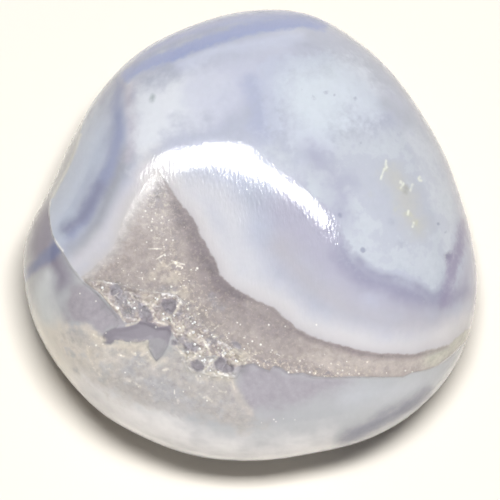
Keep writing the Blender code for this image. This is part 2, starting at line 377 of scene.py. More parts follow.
@dataclass(frozen=True)
class Rest:
    """How the stone lies: the height of the line of sight and the shift that grounds it."""

    view_elevation: float = math.radians(70)
    shift: Triple = (0.034, 0.255, -4.531)

    def to_world(self, points: Array) -> Array:
        """Turn points of the view frame, in millimetres, into metres of the part's frame."""
        sine, cosine = math.sin(self.view_elevation), math.cos(self.view_elevation)
        y = points[:, 1] * sine - points[:, 2] * cosine
        z = points[:, 1] * cosine + points[:, 2] * sine
        return (np.column_stack((points[:, 0], y, z)) - np.array(self.shift)) * MM

    def axes(self) -> Matrix:
        """Directions of u, v and w in the part's frame, as columns."""
        sine, cosine = math.sin(self.view_elevation), math.cos(self.view_elevation)
        return Matrix(((1, 0, 0), (0, sine, -cosine), (0, cosine, sine)))


@dataclass(frozen=True)
class Zone:
    """One zone of colour in the stone, drawn as an area or as a band along a line.

    Softness, coarse and fine are lengths in millimetres: how gradual the zone's edge is, and how
    far the coarse and the fine mottling push it in and out.
    """

    name: str
    colour: Shade
    line: Outline = ()
    half_width: float = 0.0
    softness: float = 0.3
    coarse: float = 0.0
    fine: float = 0.0
    strength: float = 1.0
    shift: float = 0.0

    def distance(self, points: Array) -> Array:
        """Signed distance from the zone's edge, positive inside the zone."""
        if self.half_width:
            return self.half_width - distance_to_line(points, self.line, False)
        return distance_to_line(points, self.line, True) + self.shift


@dataclass(frozen=True)
class Strokes(Zone):
    """Zone drawn as several short strokes of one width."""

    strokes: tuple[Outline, ...] = ()

    def distance(self, points: Array) -> Array:
        """Signed distance from the nearest stroke's edge, positive inside it."""
        runs = [distance_to_line(points, stroke, False) for stroke in self.strokes]
        return self.half_width - np.min(runs, axis=0)


@dataclass(frozen=True)
class Spots(Zone):
    """Zone drawn as round spots (u, v, radius)."""

    spots: tuple[Triple, ...] = ()

    def distance(self, points: Array) -> Array:
        """Signed distance from the nearest spot's edge, positive inside it."""
        runs = [radius - np.hypot(points[:, 0] - u, points[:, 1] - v) for u, v, radius in self.spots]
        return np.max(runs, axis=0)


@dataclass(frozen=True)
class Patches(Zone):
    """Zone drawn as several small areas."""

    areas: tuple[Outline, ...] = ()

    def distance(self, points: Array) -> Array:
        """Signed distance from the nearest area's edge, positive inside it."""
        runs = [distance_to_line(points, area, True) for area in self.areas]
        return np.max(runs, axis=0) + self.shift


DRUZY_EDGE: Outline = (
    (-6.13, 4.53), (-5.67, 3.87), (-5.27, 3.33), (-4.6, 2.6), (-3.93, 1.6), (-3.4, 0.87), (-3.13, 0.07),
    (-2.73, -0.67), (-2.2, -1.47), (-1.93, -2.27), (-1.2, -3.07), (-0.13, -3.6), (0.67, -4), (1.53, -4.4),
    (2.33, -5.13), (3.07, -5.8), (3.93, -6.25), (5.2, -6.65), (6.27, -6.95), (7.27, -7.28), (8.6, -7.44),
    (10.47, -7.5), (11.8, -7.22), (13.07, -6.85), (13.67, -6.42), (14.33, -6), (15.4, -5.25), (17, -4.4),
)
DRUZY_LEFT: Outline = (
    (-11.87, -3), (-10.8, -2.2), (-10, -1.47), (-9.07, -0.67), (-8.6, 0.4), (-8.13, 1.6), (-7.6, 2.67),
    (-6.93, 3.6), (-6.13, 4.4),
)
LEFT_BAND: Outline = (
    (-8.87, 10.67), (-8.73, 10), (-8.8, 9.33), (-8.87, 8.53), (-8.67, 7.67), (-8.67, 6.8), (-8.85, 5.93),
    (-9.32, 4.53), (-10, 3.33), (-10.55, 2.07), (-11.1, 1.13), (-11.8, 0.45),
)
SEAM_LINES: tuple[Outline, ...] = (
    ((-9.88, -3.31), (-9.27, -4), (-8.63, -4.57), (-8.22, -5.33)),
    ((-5.88, -3.68), (-6.2, -4.08), (-6.49, -4.44)), ((-7.01, -4), (-6.44, -4.48), (-6.2, -4.81)),
    ((-6.36, -4.89), (-5.96, -5.37), (-5.39, -5.54)), ((-4.99, -4.89), (-4.79, -4.48), (-4.51, -3.96)),
    ((-5.8, -4.81), (-5.56, -5.17), (-5.19, -4.97), (-5.11, -5.41)),
    ((-5.03, -5.45), (-4.59, -5.7), (-4.1, -5.74)), ((-4.83, -6.91), (-4.51, -7.31), (-4.26, -7.56)),
    ((-4.26, -7.51), (-3.86, -7.8), (-3.37, -7.31)), ((-3.37, -6.18), (-3.05, -6.5), (-2.57, -7.47)),
    ((-3.05, -8.52), (-2.65, -8.12), (-2.16, -7.64)),
    ((-1.52, -7.47), (-1.03, -7.15), (-0.55, -7.47), (-0.06, -7.31)), ((-0.95, -7.96), (-0.14, -7.72)),
    ((-2.89, -8.73), (-2.24, -8.65), (-1.52, -8.89), (-1.15, -9.25), (-1.03, -9.74)),
    ((-10.53, -6.1), (-10, -6.34), (-9.56, -6.59)),
    ((-10.69, -6.99), (-10.57, -7.64), (-10.32, -8.12)),
    ((-8.87, -6.59), (-8.14, -6.71), (-7.5, -6.91), (-6.69, -6.59)), ((-8.63, -7.51), (-8.22, -7.6)),
    ((-7.74, -7.31), (-7.5, -7.51)), ((-7.17, -7.6), (-6.73, -7.39), (-6.53, -7.72)),
    ((-5.48, -1.74), (-5.07, -1.49), (-4.59, -1.62)), ((-5.56, -3.35), (-4.91, -3.47), (-4.59, -3.35)),
    ((-7.82, -3.51), (-7.54, -3.96)), ((-8.14, -5.62), (-7.5, -5.45), (-7.25, -5.21)),
)
SEAM_CLUMPS: tuple[Triple, ...] = (
    (-6.36, -4, 0.323), (-6.85, -3.76, 0.242), (-4.59, -5.86, 0.364), (-3.78, -6.26, 0.323),
    (-3.37, -6.59, 0.283), (-3.94, -7.56, 0.323), (-3.13, -7.31, 0.283), (-1.19, -7.64, 0.485),
    (-0.38, -7.56, 0.404), (-0.71, -7.88, 0.323), (-2.16, -8.85, 0.404), (-1.52, -9.01, 0.323),
    (-10.24, -6.26, 0.323), (-9.68, -6.67, 0.283), (-10.49, -7.39, 0.242), (-8.46, -6.91, 0.364),
    (-7.66, -6.99, 0.404), (-6.93, -6.99, 0.364), (-7.98, -7.47, 0.283), (-5.8, -1.82, 0.323),
    (-6.36, -2.38, 0.323), (-4.99, -2.55, 0.485), (-4.26, -3.43, 0.404), (-5.56, -2.55, 0.323),
)
SEAM_DUSK: tuple[Triple, ...] = (
    (-8.79, -3.19, 0.283), (-8.38, -3.92, 0.364), (-9.68, -4.36, 0.242), (-9.43, -4.61, 0.178),
    (-7.9, -4.81, 0.404), (-7.01, -4.4, 0.242), (-6.85, -4.81, 0.259), (-4.67, -4.81, 0.202),
    (-4.59, -6.5, 0.283), (-3.94, -6.67, 0.364), (-3.54, -6.91, 0.283), (-2.49, -6.59, 0.339),
    (-5.15, -3.27, 0.283), (-5.64, -3.15, 0.202), (-0.38, -8.52, 0.323), (-2.24, -4.32, 0.323),
    (-1.84, -4.44, 0.242), (-2.57, -3.76, 0.283),
)
GRAIN_GLINTS: tuple[Triple, ...] = (
    (-11.21, -3.51, 0.045), (-8.26, -4.08, 0.04), (-8.63, -4.48, 0.045), (-10.12, -4, 0.045),
    (-9.11, -4.2, 0.04), (-8.22, -5.33, 0.04), (-6.16, -5.7, 0.05), (-6.28, -1.9, 0.05),
    (-6.24, -2.55, 0.045), (-4.87, -2.14, 0.045), (-3.45, -1.86, 0.07), (-3.54, -1.98, 0.045),
    (-5.15, -3.07, 0.06), (-3.33, -3.8, 0.045), (-4.14, -4.2, 0.04), (-4.06, -4.48, 0.04),
    (-3.86, -5.33, 0.05), (-0.83, -5.41, 0.04), (-0.63, -5.54, 0.04), (-2.08, -7.07, 0.045),
    (-4.46, -7.8, 0.05), (-10.08, -6.91, 0.05), (-9.43, -6.1, 0.04), (-1.84, -8.97, 0.045),
    (-1.43, -9.01, 0.045), (-2.69, -8.93, 0.05), (-2.81, -10.5, 0.05), (-7.29, -9.62, 0.04),
    (-8.18, -8.69, 0.04), (-7.09, -2.14, 0.045), (-8.51, -2.83, 0.035), (-7.5, -7.39, 0.04),
    (-8.22, -3.19, 0.04), (-7.37, -2.06, 0.035), (-4.38, -5.66, 0.045), (-4.46, -6.18, 0.045),
    (-3.94, -6.1, 0.045), (-3.37, -6.18, 0.045), (-4.99, -6.1, 0.04), (-0.14, -6.79, 0.045),
    (-1.31, -7.47, 0.04), (-0.3, -8.04, 0.045), (-6.32, -4.85, 0.05), (-7.82, -6.67, 0.04),
    (-8.46, -7.56, 0.045), (-5.64, -5.13, 0.04), (-4.75, -5.86, 0.04), (-2.24, -3.76, 0.03),
    (-10.24, -6.22, 0.04), (-9.64, -6.83, 0.04), (-6.73, -7.35, 0.04), (-6.86, 1.9, 0.053),
    (-6.21, 1.76, 0.042), (-6.43, 1.21, 0.042), (-6.46, 0.62, 0.053), (-5.83, 1.13, 0.037),
    (-5.49, 0.02, 0.053), (-6.77, -0.15, 0.042), (-5.57, -1.01, 0.053), (-5.04, -0.02, 0.042),
    (-6.65, 0.84, 0.037), (-7.03, 1.52, 0.032), (-6.1, 0.12, 0.032), (-5.76, 1.52, 0.032),
    (2.51, -8.64, 0.06), (3.05, -8.54, 0.05), (3.9, -8.64, 0.05), (5.72, -8.71, 0.05), (6.04, -8.52, 0.06),
    (6.47, -8.75, 0.05), (10.16, -8.56, 0.06), (10.63, -8.64, 0.05), (0.7, -6.83, 0.06),
    (0.16, -6.62, 0.05), (1.23, -5.55, 0.05), (4.33, -5.55, 0.05), (1.77, -7.47, 0.045),
    (-0.05, -7.36, 0.05), (1.02, -7.9, 0.05), (1.44, -7.21, 0.045), (4.86, -7.47, 0.04),
    (5.29, -8.07, 0.045), (6.89, -8.54, 0.04), (1.56, -11.74, 0.05), (1.69, -11.88, 0.035),
    (2.19, -11.7, 0.03), (2.94, -11.78, 0.03), (0.75, -11.95, 0.035), (2.3, -5.65, 0.04),
    (3.26, -7.9, 0.045),
)
# Painted glints: short bright strokes where quartz grains catch the light.
GRAIN_GLINT_STREAKS: tuple[Outline, ...] = (
    ((-8.91, -3.68), (-8.59, -3.47)), ((-8.06, -3.88), (-7.94, -4.08)),
    ((-2.32, -5.82), (-2.06, -5.58)), ((-4.95, -9.78), (-4.95, -10.06)),
    ((-3.98, -9.58), (-3.96, -9.74)), ((-1.84, -6.99), (-1.68, -7.31)),
    ((-9.76, -3.64), (-9.61, -3.8)), ((-9.11, -4.16), (-8.99, -4.32)),
    ((-5.68, -5.17), (-5.19, -5.01)), ((-5.19, -5.01), (-5.14, -5.37)),
    ((-3.01, -8.48), (-2.57, -8.12)), ((-8.83, -3.64), (-8.67, -3.68)),
    ((-6.68, -0.58), (-5.83, -0.58)), ((-5.15, -1.35), (-4.29, -1.61)), ((-6, -1.26), (-5.8, -1.52)),
    ((-6.12, -1.26), (-5.57, -0.92)),
)


class Layer(Enum):
    """Layers of the pattern, painted from the first to the last."""

    UPPER = "upper"
    DRUZY = "druzy"
    LOWER = "lower"
    EDGES = "edges"


DRUZY_LOW = Zone(
    "druzy_low", (192, 186, 182),
    ((-12.8, -6), (-12, -5.47), (-10.53, -6.07), (-9.8, -6.27), (-9.2, -6.87), (-8.2, -6.67),
     (-6.67, -6.73), (-6, -8), (-5.3, -6.6), (-5, -6), (-4, -7), (-2.9, -7.3), (-1.6, -7.5), (-0.9, -8.1),
     (-0.93, -10.13), (-0.27, -11.2), (0.8, -12), (-0.67, -12.53), (-2.33, -11.87), (-4, -11.33),
     (-6, -11), (-8, -10.8), (-10, -9.67), (-11.67, -8.33), (-12.67, -7.33)),
    softness=0.6, coarse=0.5, fine=0.3, strength=0.85,
)


@dataclass(frozen=True)
class AgatePattern:
    """Bands, clouds and colour zones of the stone, with painted shade, highlights and glints among them,
    painted one over another.
    """

    seam: Outline = (
        (-6.1, 2.7), (-5.7, 0.3), (-5.3, -1.4), (-4, -3.3), (-3, -5.2), (-2, -6.8),
    )
    ground: Shade = (203, 207, 224)
    ground_low: Shade = (187, 191, 204)
    upper: tuple[Zone, ...] = (
        # Painted shade: a thin dark line along the outline at the upper left, where the edge turns away.
        Zone("olive_edge", (176, 175, 170),
             ((-10.95, 8.37), (-11.62, 6.74), (-12.22, 5.11), (-12.9, 3.63), (-13.4, 2.6)),
             half_width=0.12, softness=0.1, fine=0.03, strength=0.8),
        Zone("left_facet", (204, 211, 225),
             ((-16, 12), (-8.9, 11.2), (-8.8, 9), (-8.7, 7), (-9.4, 4.6), (-10.7, 1.6), (-12.5, -0.3),
              (-16, -1)), softness=0.35, coarse=0.1),
        Zone("between_bands", (168, 170, 177),
             ((-8.3, 5.6), (-9, 3.6), (-9.9, 1.2), (-11.2, -0.8)),
             half_width=0.5, softness=0.7, coarse=0.2, strength=0.85),
        Zone("left_strip", (199, 195, 206),
             ((-8.2, 10.2), (-7.7, 8), (-7.6, 6.5), (-8, 5.4)),
             half_width=0.42, softness=0.4, coarse=0.2, fine=0.1, strength=0.8),
        Zone("white_left", (232, 235, 241),
             ((-7.47, 10.13), (-6.33, 10.4), (-4.67, 10.8), (-3, 11.33), (-1.87, 10.93), (-1.6, 9.67),
              (-2.4, 8.33), (-3.6, 7.67), (-4.6, 7.87), (-5.2, 7.2), (-5.6, 6.4), (-6.6, 5.3), (-7.6, 4.7),
              (-7.6, 7.33), (-7.75, 8.67)),
             softness=0.9, coarse=0.7, fine=0.2, strength=0.95),
        Zone("upper_pale", (212, 215, 230),
             ((-4, 11.5), (0.5, 13), (3.5, 13.6), (4.5, 12.6), (1.5, 11.6), (-0.5, 9), (-2, 7.6), (-4, 8)),
             softness=1.1, coarse=0.6, strength=0.75),
        Zone("blue_middle", (188, 193, 215),
             ((0.2, 10.4), (0.5, 9), (0.6, 7.6), (1, 6.4)),
             half_width=0.55, softness=0.5, coarse=0.45, fine=0.2, strength=0.8),
        Zone("lavender_wide", (188, 186, 202),
             ((2.2, 4.1), (3.6, 3), (5, 1.9), (5.75, 0.7), (6.25, -0.3), (6.75, -1.3), (7.47, -1.8),
              (8.27, -2.33), (9.53, -2.6), (10.47, -3), (11.2, -3.13), (11.93, -3.93), (12.6, -3.67),
              (13.47, -2.53), (14.6, -1.6), (14.8, -4), (13.67, -5), (11.33, -5.07), (8.67, -4.67),
              (6, -3.6), (3.33, -1.6), (1.6, 0.8), (1, 2.6)),
             softness=1.2, coarse=0.5, fine=0.1, strength=0.85),
        Zone("lavender", (155, 155, 178),
             ((3.2, 3.2), (4.9, 1.3), (5.7, 0), (6.4, -1.5), (7.8, -2.6), (9.8, -3.2), (11.3, -3.9),
              (12.8, -4.2), (14.2, -3.4)),
             half_width=0.45, softness=0.9, coarse=0.4, fine=0.1, strength=0.8),
        Zone("cloud_edge", (202, 208, 218),
             ((3.67, 3.33), (5.07, 2.33), (5.87, 1.1), (6.33, 0.3), (6.85, -0.62), (7.52, -1.15),
              (8.27, -1.72), (8.8, -1.92), (9.53, -1.95), (10, -2.08), (10.47, -2.35), (11.2, -2.5),
              (11.53, -2.88), (11.93, -3.25), (12.4, -2.95), (12.7, -2.5), (12.95, -1.8), (13.2, -0.5),
              (13.5, 3), (9, 6), (4, 5.5)),
             softness=0.14, coarse=0.2, fine=0.16),
        Zone("cloud_mass", (212, 217, 225),
             ((0.8, 6.67), (2.33, 6.2), (3.67, 5.63), (4.67, 6), (5.33, 7), (6.33, 7.33), (7.67, 7.33),
              (9, 7.67), (10, 7.87), (11.67, 7.33), (12.67, 6), (13.67, 4), (14.2, 1.33), (13.7, -0.67),
              (13.2, -1.4), (12.95, -2), (12.7, -2.7), (12.4, -3.1), (11.93, -3.35), (11.53, -2.98),
              (11.2, -2.6), (10.47, -2.45), (10, -2.18), (9.53, -2.05), (8.8, -2), (8.27, -1.8),
              (7.47, -1.25), (6.8, -0.72), (6.33, 0.2), (5.87, 1.1), (5.07, 2.33), (3.67, 3.33),
              (2.67, 4.27), (1.33, 5), (0.53, 6)),
             softness=1.4, coarse=0.7, fine=0.5, shift=-0.3),
        Zone("cloud_shell", (207, 213, 229),
             ((0.3, 11.9), (1.2, 12.3), (3, 12.2), (4.2, 12.1), (5.4, 12.5), (6, 11.9), (4.5, 11.5),
              (3, 11.2), (2.2, 10.4), (1.9, 8.8), (2.3, 7.2), (1.3, 6.5), (0.95, 8.2), (0.65, 9.6)),
             softness=0.3, coarse=0.45, fine=0.25, strength=0.55),
        Zone("cloud_upper", (220, 227, 235),
             ((2.2, 10.67), (3, 11.33), (4.53, 11.6), (5.67, 12), (6.67, 11.6), (7.47, 10.8), (7.3, 9.87),
              (7.47, 9), (6.67, 8.33), (5.87, 7.6), (5.33, 6.8), (4.53, 6.03), (3.33, 6.7), (2.8, 8),
              (2.27, 9.07)),
             softness=1.5, coarse=0.5, fine=0.4),
        Zone("cloud_veil", (222, 228, 238),
             ((6, 11.9), (7.6, 11.4), (8.9, 9.8), (9.2, 8.4), (8.2, 7.6), (6.2, 7.8)),
             softness=0.9, coarse=0.7, fine=0.4, strength=0.75),
        Zone("cloud_bridge", (214, 219, 231), ((2.9, 7.3), (3.9, 6.6), (4.9, 6)),
             half_width=0.55, softness=0.8, coarse=0.5, fine=0.3, strength=0.75),
        Zone("cloud_shade", (179, 179, 200),
             ((4.2, 5.4), (5.2, 4.6), (5.9, 3.6), (6.15, 2.4), (5.85, 1.7)),
             half_width=0.55, softness=1.0, coarse=0.7, fine=0.4, strength=0.85),
        Spots("soft_spots", (174, 176, 193), softness=0.3, fine=0.2, coarse=0.1, strength=0.7,
              spots=((9.95, -0.25, 0.2), (9.3, 1.2, 0.16))),
        Zone("cloud_line", (146, 144, 170),
             ((7.1, -1.25), (7.85, -2.05), (8.6, -2.38), (9.6, -2.42), (10.1, -2.62), (11.2, -3.15),
              (12, -3.75), (12.6, -3.45)),
             half_width=0.1, softness=0.34, coarse=0.2, fine=0.16, strength=0.55),
        Zone("mottle_right", (182, 186, 199), ((8.9, 9.1), (9.6, 8.5), (10.3, 7.7)),
             half_width=0.3, softness=0.5, coarse=0.4, fine=0.35, strength=0.7),
        Zone("cloud_mottle", (193, 196, 211),
             ((1.5, 6), (3.67, 5.63), (5.33, 7), (8, 7.3), (11.5, 7), (13.3, 4), (14.1, 1.3), (13.5, -1.4),
              (11.5, -2.6), (8.3, -1.6), (6.6, 0.4), (5.3, 2.6)),
             softness=0.5, coarse=1.5, fine=0.9, strength=0.5, shift=-1.3),
        Spots("violet_spot", (134, 130, 152), softness=0.16, fine=0.1, strength=0.85,
              spots=((13.08, -1.1, 0.24),)),
        Zone("violet_right", (158, 152, 178),
             ((14.15, 1), (13.85, -0.6), (13.4, -1.9), (13, -3.1), (12.8, -4.1)),
             half_width=0.36, softness=0.4, coarse=0.3, fine=0.2, strength=0.9),
        Zone("yellow_halo", (207, 207, 204),
             ((9.4, 4.2), (10.2, 3.2), (10.5, 1.8), (11, 0.8)),
             half_width=0.7, softness=0.8, coarse=0.4, fine=0.2, strength=0.8),
        Zone("lavender_low", (194, 191, 198),
             ((2, -0.5), (4, -3), (6.5, -4.6), (9.5, -5.5), (12.5, -5.5)),
             half_width=0.8, softness=1.2, coarse=0.2, strength=0.8),
        Zone("edge_pale", (225, 222, 222), DRUZY_EDGE,
             half_width=1.2, softness=1.0, coarse=0.25, strength=0.95),
        Zone("edge_soft", (182, 178, 186), DRUZY_EDGE[1:],
             half_width=0.15, softness=0.85, coarse=0.15, fine=0.06, strength=0.75),
        # Painted highlight: a soft pale band along the crest of the ridge that runs down to the left.
        Zone("ridge_pale", (217, 215, 220),
             ((-5.6, 4.9), (-6.67, 4.27), (-7.67, 3.33), (-8.53, 1.87), (-9.2, 0.53), (-10.33, -0.67),
              (-11.6, -1.73)),
             half_width=0.6, softness=0.6, coarse=0.15, strength=0.85),
        Zone("streak_pale", (217, 217, 222),
             ((-3.4, 3.4), (-2, 2.8), (-1.2, 1.4), (-0.9, -0.4), (0, -1.8)),
             half_width=0.9, softness=1.0, coarse=0.2, strength=0.85),
        Zone("below_band", (222, 227, 243),
             ((-4.6, 11.7), (-2.6, 12.5), (-0.6, 12.9), (1.4, 13.3), (3.4, 13.6)),
             half_width=0.4, softness=0.6, coarse=0.2, strength=0.8),
        Zone("right_rim", (192, 191, 206),
             ((13.4, 5.5), (14.4, 2.5), (14.9, -0.5), (15, -3), (14.8, -4.6)),
             half_width=0.5, softness=0.5, coarse=0.2, strength=0.6),
        Zone("top_rim", (178, 188, 226),
             ((-8.6, 12.1), (-5, 13.8), (-1, 14.8), (2, 15.2), (4.5, 14.9)),
             half_width=0.5, softness=0.3, coarse=0.15, strength=0.8),
        Zone("top_band", (172, 182, 218),
             ((-8.3, 11), (-7.78, 11.27), (-6.46, 11.87), (-4.6, 12.53), (-3.83, 12.87), (-2.33, 13.43),
              (-0.44, 13.93), (2, 14.45), (3.33, 14.62), (4.9, 14.5)),
             half_width=0.44, softness=0.24, coarse=0.16, fine=0.1),
        Zone("top_band_thin", (176, 183, 208),
             ((-7.75, 11.65), (-6.27, 12.52), (-4.77, 13.18), (-3.64, 13.65), (-2.14, 14.15)),
             half_width=0.14, softness=0.2, coarse=0.1, fine=0.06, strength=0.7),
        Zone("left_band_halo", (166, 165, 184),
             shifted(LEFT_BAND[:-2], -0.4, 0.0),
             half_width=0.35, softness=0.8, coarse=0.25, strength=0.5),
        Zone("left_band", (168, 174, 199), LEFT_BAND,
             half_width=0.34, softness=0.36, coarse=0.14, fine=0.08, strength=0.95),
        Zone("left_band_foot", (150, 152, 174),
             ((-9.9, 3.4), (-10.5, 2.2), (-11.2, 1.35), (-12.1, 0.75)),
             half_width=0.36, softness=0.45, coarse=0.16, fine=0.08, strength=0.8),
        Zone("left_branch", (176, 180, 200),
             ((-9.2, 10.3), (-9.6, 9.8), (-9.95, 9.2)),
             half_width=0.2, softness=0.3, coarse=0.1, strength=0.8),
        Strokes("grey_marks", (164, 176, 180), half_width=0.14, softness=0.16, fine=0.05,
                strength=0.75, strokes=(((-6.4, 9.5), (-6.5, 9.2)),)),
        Spots("dark_specks", (160, 164, 184), softness=0.08, fine=0.06, strength=0.75,
              spots=((4.27, 9.33, 0.1), (4.13, 9.45, 0.07), (4.93, 9.73, 0.1), (5.6, 9.6, 0.07),
                     (6.93, 9.33, 0.13), (5.2, 9.75, 0.06), (12.4, 1.07, 0.1), (12.93, 0.53, 0.1),
                     (5.87, 1.6, 0.14), (7.3, 6.4, 0.08), (3.4, 9.9, 0.06), (7.39, -0.67, 0.17))),
        Spots("olive_spot", (182, 181, 178), softness=0.2, fine=0.08, strength=0.85,
              spots=((10.28, 3.41, 0.16), (10.24, 3.2, 0.14))),
        Spots("yellow_flecks", (218, 218, 190), softness=0.22, fine=0.16, coarse=0.1, strength=0.55,
              spots=((10.4, 1.7, 0.2), (10.9, 1.1, 0.12), (10, 3.4, 0.12), (8.9, 4.6, 0.1),
                     (7.9, 2.95, 0.08), (9.6, 1.9, 0.08))),
        Strokes("glints", (244, 246, 236), half_width=0.06, softness=0.08, fine=0.04,
                strength=0.95, strokes=(
                    ((8.97, 5.24), (8.95, 4.97)),
                    ((9.05, 4.82), (8.83, 4.64), (8.72, 4.33), (8.59, 4)),
                    ((9.95, 3.89), (9.93, 3.77)), ((10.13, 3.75), (9.95, 3.41)),
                    ((10.72, 3.67), (10.59, 3.28)),
                    ((11.25, 4.18), (11.14, 4.08), (11.2, 3.95), (11.34, 3.94)),
                    ((10.42, 1.93), (10.39, 1.67)), ((10.78, 1.14), (10.69, 0.87)))),
    )
    druzy: tuple[Zone, ...] = (
        Zone("druzy", (178, 169, 166), DRUZY_EDGE + ((17, -12), (-12, -12)) + DRUZY_LEFT,
             softness=0.1, coarse=0.1, fine=0.07),
        Zone("druzy_right", (198, 189, 184),
             ((4.5, -7.7), (6.5, -8.2), (9, -8.3), (11.5, -8), (13.5, -7.1)),
             half_width=0.7, softness=0.6, coarse=0.2, strength=0.9),
        Zone("druzy_olive", (206, 205, 191),
             ((12, -7.75), (13.2, -6.95), (14.4, -6), (15.4, -5.1)),
             half_width=0.5, softness=0.6, coarse=0.2, fine=0.1, strength=0.8),
        Zone("druzy_rim", (114, 106, 114),
             shifted(DRUZY_EDGE[3:12], -0.42, -0.22),
             half_width=0.3, softness=0.42, coarse=0.16, fine=0.14, strength=0.9),
        Zone("druzy_rim_right", (138, 129, 134),
             shifted(DRUZY_EDGE[1:24], -0.12, -0.14),
             half_width=0.08, softness=0.34, coarse=0.06, fine=0.1, strength=0.9),
        Zone("druzy_dusk", (152, 143, 145),
             ((-4.6, 1.6), (-3.6, -0.6), (-2.9, -2.6), (-1.8, -3.8), (0.4, -5), (2.2, -6.2)),
             half_width=0.55, softness=0.7, coarse=0.5, fine=0.2, strength=0.7),
        Zone("druzy_apex", (120, 112, 115),
             ((-6.1, 4.4), (-6.15, 3.6), (-6.2, 2.6)),
             half_width=0.45, softness=0.7, coarse=0.2, strength=0.85),
        Zone("strip_dusk", (170, 165, 168), ROUGH, softness=0.4, coarse=1.6, fine=0.6,
             strength=0.5, shift=-0.9),
    )
    lower: tuple[Zone, ...] = (
        Zone("lower_ground", (195, 196, 199),
             ((-20, 10), (17, 10), (17, -20), (-20, -20)), softness=0.1),
        Zone("lower_left", (151, 144, 158),
             ((-13.6, 1.6), (-14, -0.4), (-12.8, -2.4)),
             half_width=0.9, softness=0.8, coarse=0.2, strength=0.9),
        Zone("lower_band", (142, 146, 173),
             ((-12, 0.3), (-12.73, -0.27), (-13.33, -0.93), (-14, -1.47), (-14.67, -2.07), (-16, -3.2)),
             half_width=0.36, softness=0.28, coarse=0.12, fine=0.06),
        # These three bands: the lower side's own paler colour, raised further as painted light so that
        # this side looks lit from below.
        Zone("lower_warm", (250, 243, 227),
             ((-14.2, -5.6), (-13.3, -7), (-12, -8.6)),
             half_width=0.9, softness=1.2, coarse=0.5, strength=0.85),
        Zone("lower_left_pale", (250, 246, 243),
             ((-11, -9), (-8.4, -11.1), (-5.6, -12.4)),
             half_width=0.9, softness=1.2, coarse=0.5, strength=0.85),
        Zone("lower_pale", (246, 243, 243),
             ((-8, -12), (-4, -13.3), (1, -13.9), (5, -13.5)),
             half_width=0.6, softness=1.2, coarse=0.5, strength=0.9),
        DRUZY_LOW,
        Zone("low_light", (232, 224, 212),
             ((-12.7, -6.3), (-12.2, -7.2), (-10.8, -7.7), (-9.4, -8.2)),
             half_width=0.8, softness=0.9, coarse=0.5, fine=0.2, strength=0.65),
        # The lower layer's own mauve, darkened as painted shade under the upper layer's lip, below the
        # ledge and left of the gap.
        Zone("mauve_shade", (177, 172, 178),
             ((-12.27, -4.2), (-11.87, -3.23), (-10.93, -2.97), (-10, -3.47), (-9.07, -4.47),
              (-8.13, -5.33), (-7.4, -5.53), (-8, -5.67), (-9.33, -6), (-9.6, -6.7), (-9.8, -6.2),
              (-10.2, -5.87), (-10.67, -5.47), (-11.33, -5.47), (-12.13, -5.4)),
             softness=0.4, coarse=0.3, fine=0.12),
        Zone("lower_side", (222, 226, 227),
             ((-13.5, -2.5), (-13.9, -3.8), (-13.6, -5)),
             half_width=0.55, softness=0.6, coarse=0.2, strength=0.85),
        # Painted shade on the lower layer under the ledge's overhang.
        Zone("under_shade", (178, 173, 180),
             ((-1.07, -8), (0.67, -7.8), (2.67, -8.37), (5.33, -8.77), (6.67, -9.33), (5.33, -10),
              (3.33, -10.67), (1.33, -11.2), (-0.27, -11.07), (-0.6, -10.47), (-0.93, -9.93)),
             softness=0.9, coarse=0.5, fine=0.15, strength=0.9),
        Zone("low_grey", (184, 184, 188),
             ((-12, -7.5), (-8.5, -7.6), (-6, -8.8), (-3, -9.6), (-1, -11.5), (-5, -11.2), (-9, -9.8)),
             softness=0.6, coarse=1.8, fine=0.6, strength=0.65, shift=-0.5),
        Zone("right_pale", (206, 208, 213),
             ((6.5, -10.4), (9, -10), (11.5, -9.6), (13, -9)),
             half_width=0.5, softness=0.9, coarse=0.3, strength=0.8),
        Zone("gap_cream", (222, 214, 202),
             ((-12.4, -5.75), (-11.3, -5.75), (-10.6, -5.8), (-10, -6.4), (-9.5, -7), (-8.8, -6.85),
              (-7.9, -6.95), (-7, -6.95), (-6.75, -7.3), (-6.2, -8.2), (-5.6, -7.9)),
             half_width=0.16, softness=0.3, coarse=0.2, fine=0.16, strength=0.75),
        Zone("cream_arc", (214, 207, 198),
             ((-3.1, -8.95), (-2.2, -8.95), (-1.2, -9), (-0.95, -9.8), (-0.6, -10.7), (0, -11.3)),
             half_width=0.2, softness=0.25, coarse=0.15, fine=0.1, strength=0.6),
        Zone("low_diagonal", (132, 132, 150),
             ((11.75, -10.25), (10.67, -10.95), (9.33, -11.6), (7.85, -12.3), (6.15, -13.2)),
             half_width=0.4, softness=0.55, coarse=0.2, fine=0.1, strength=0.85),
    )
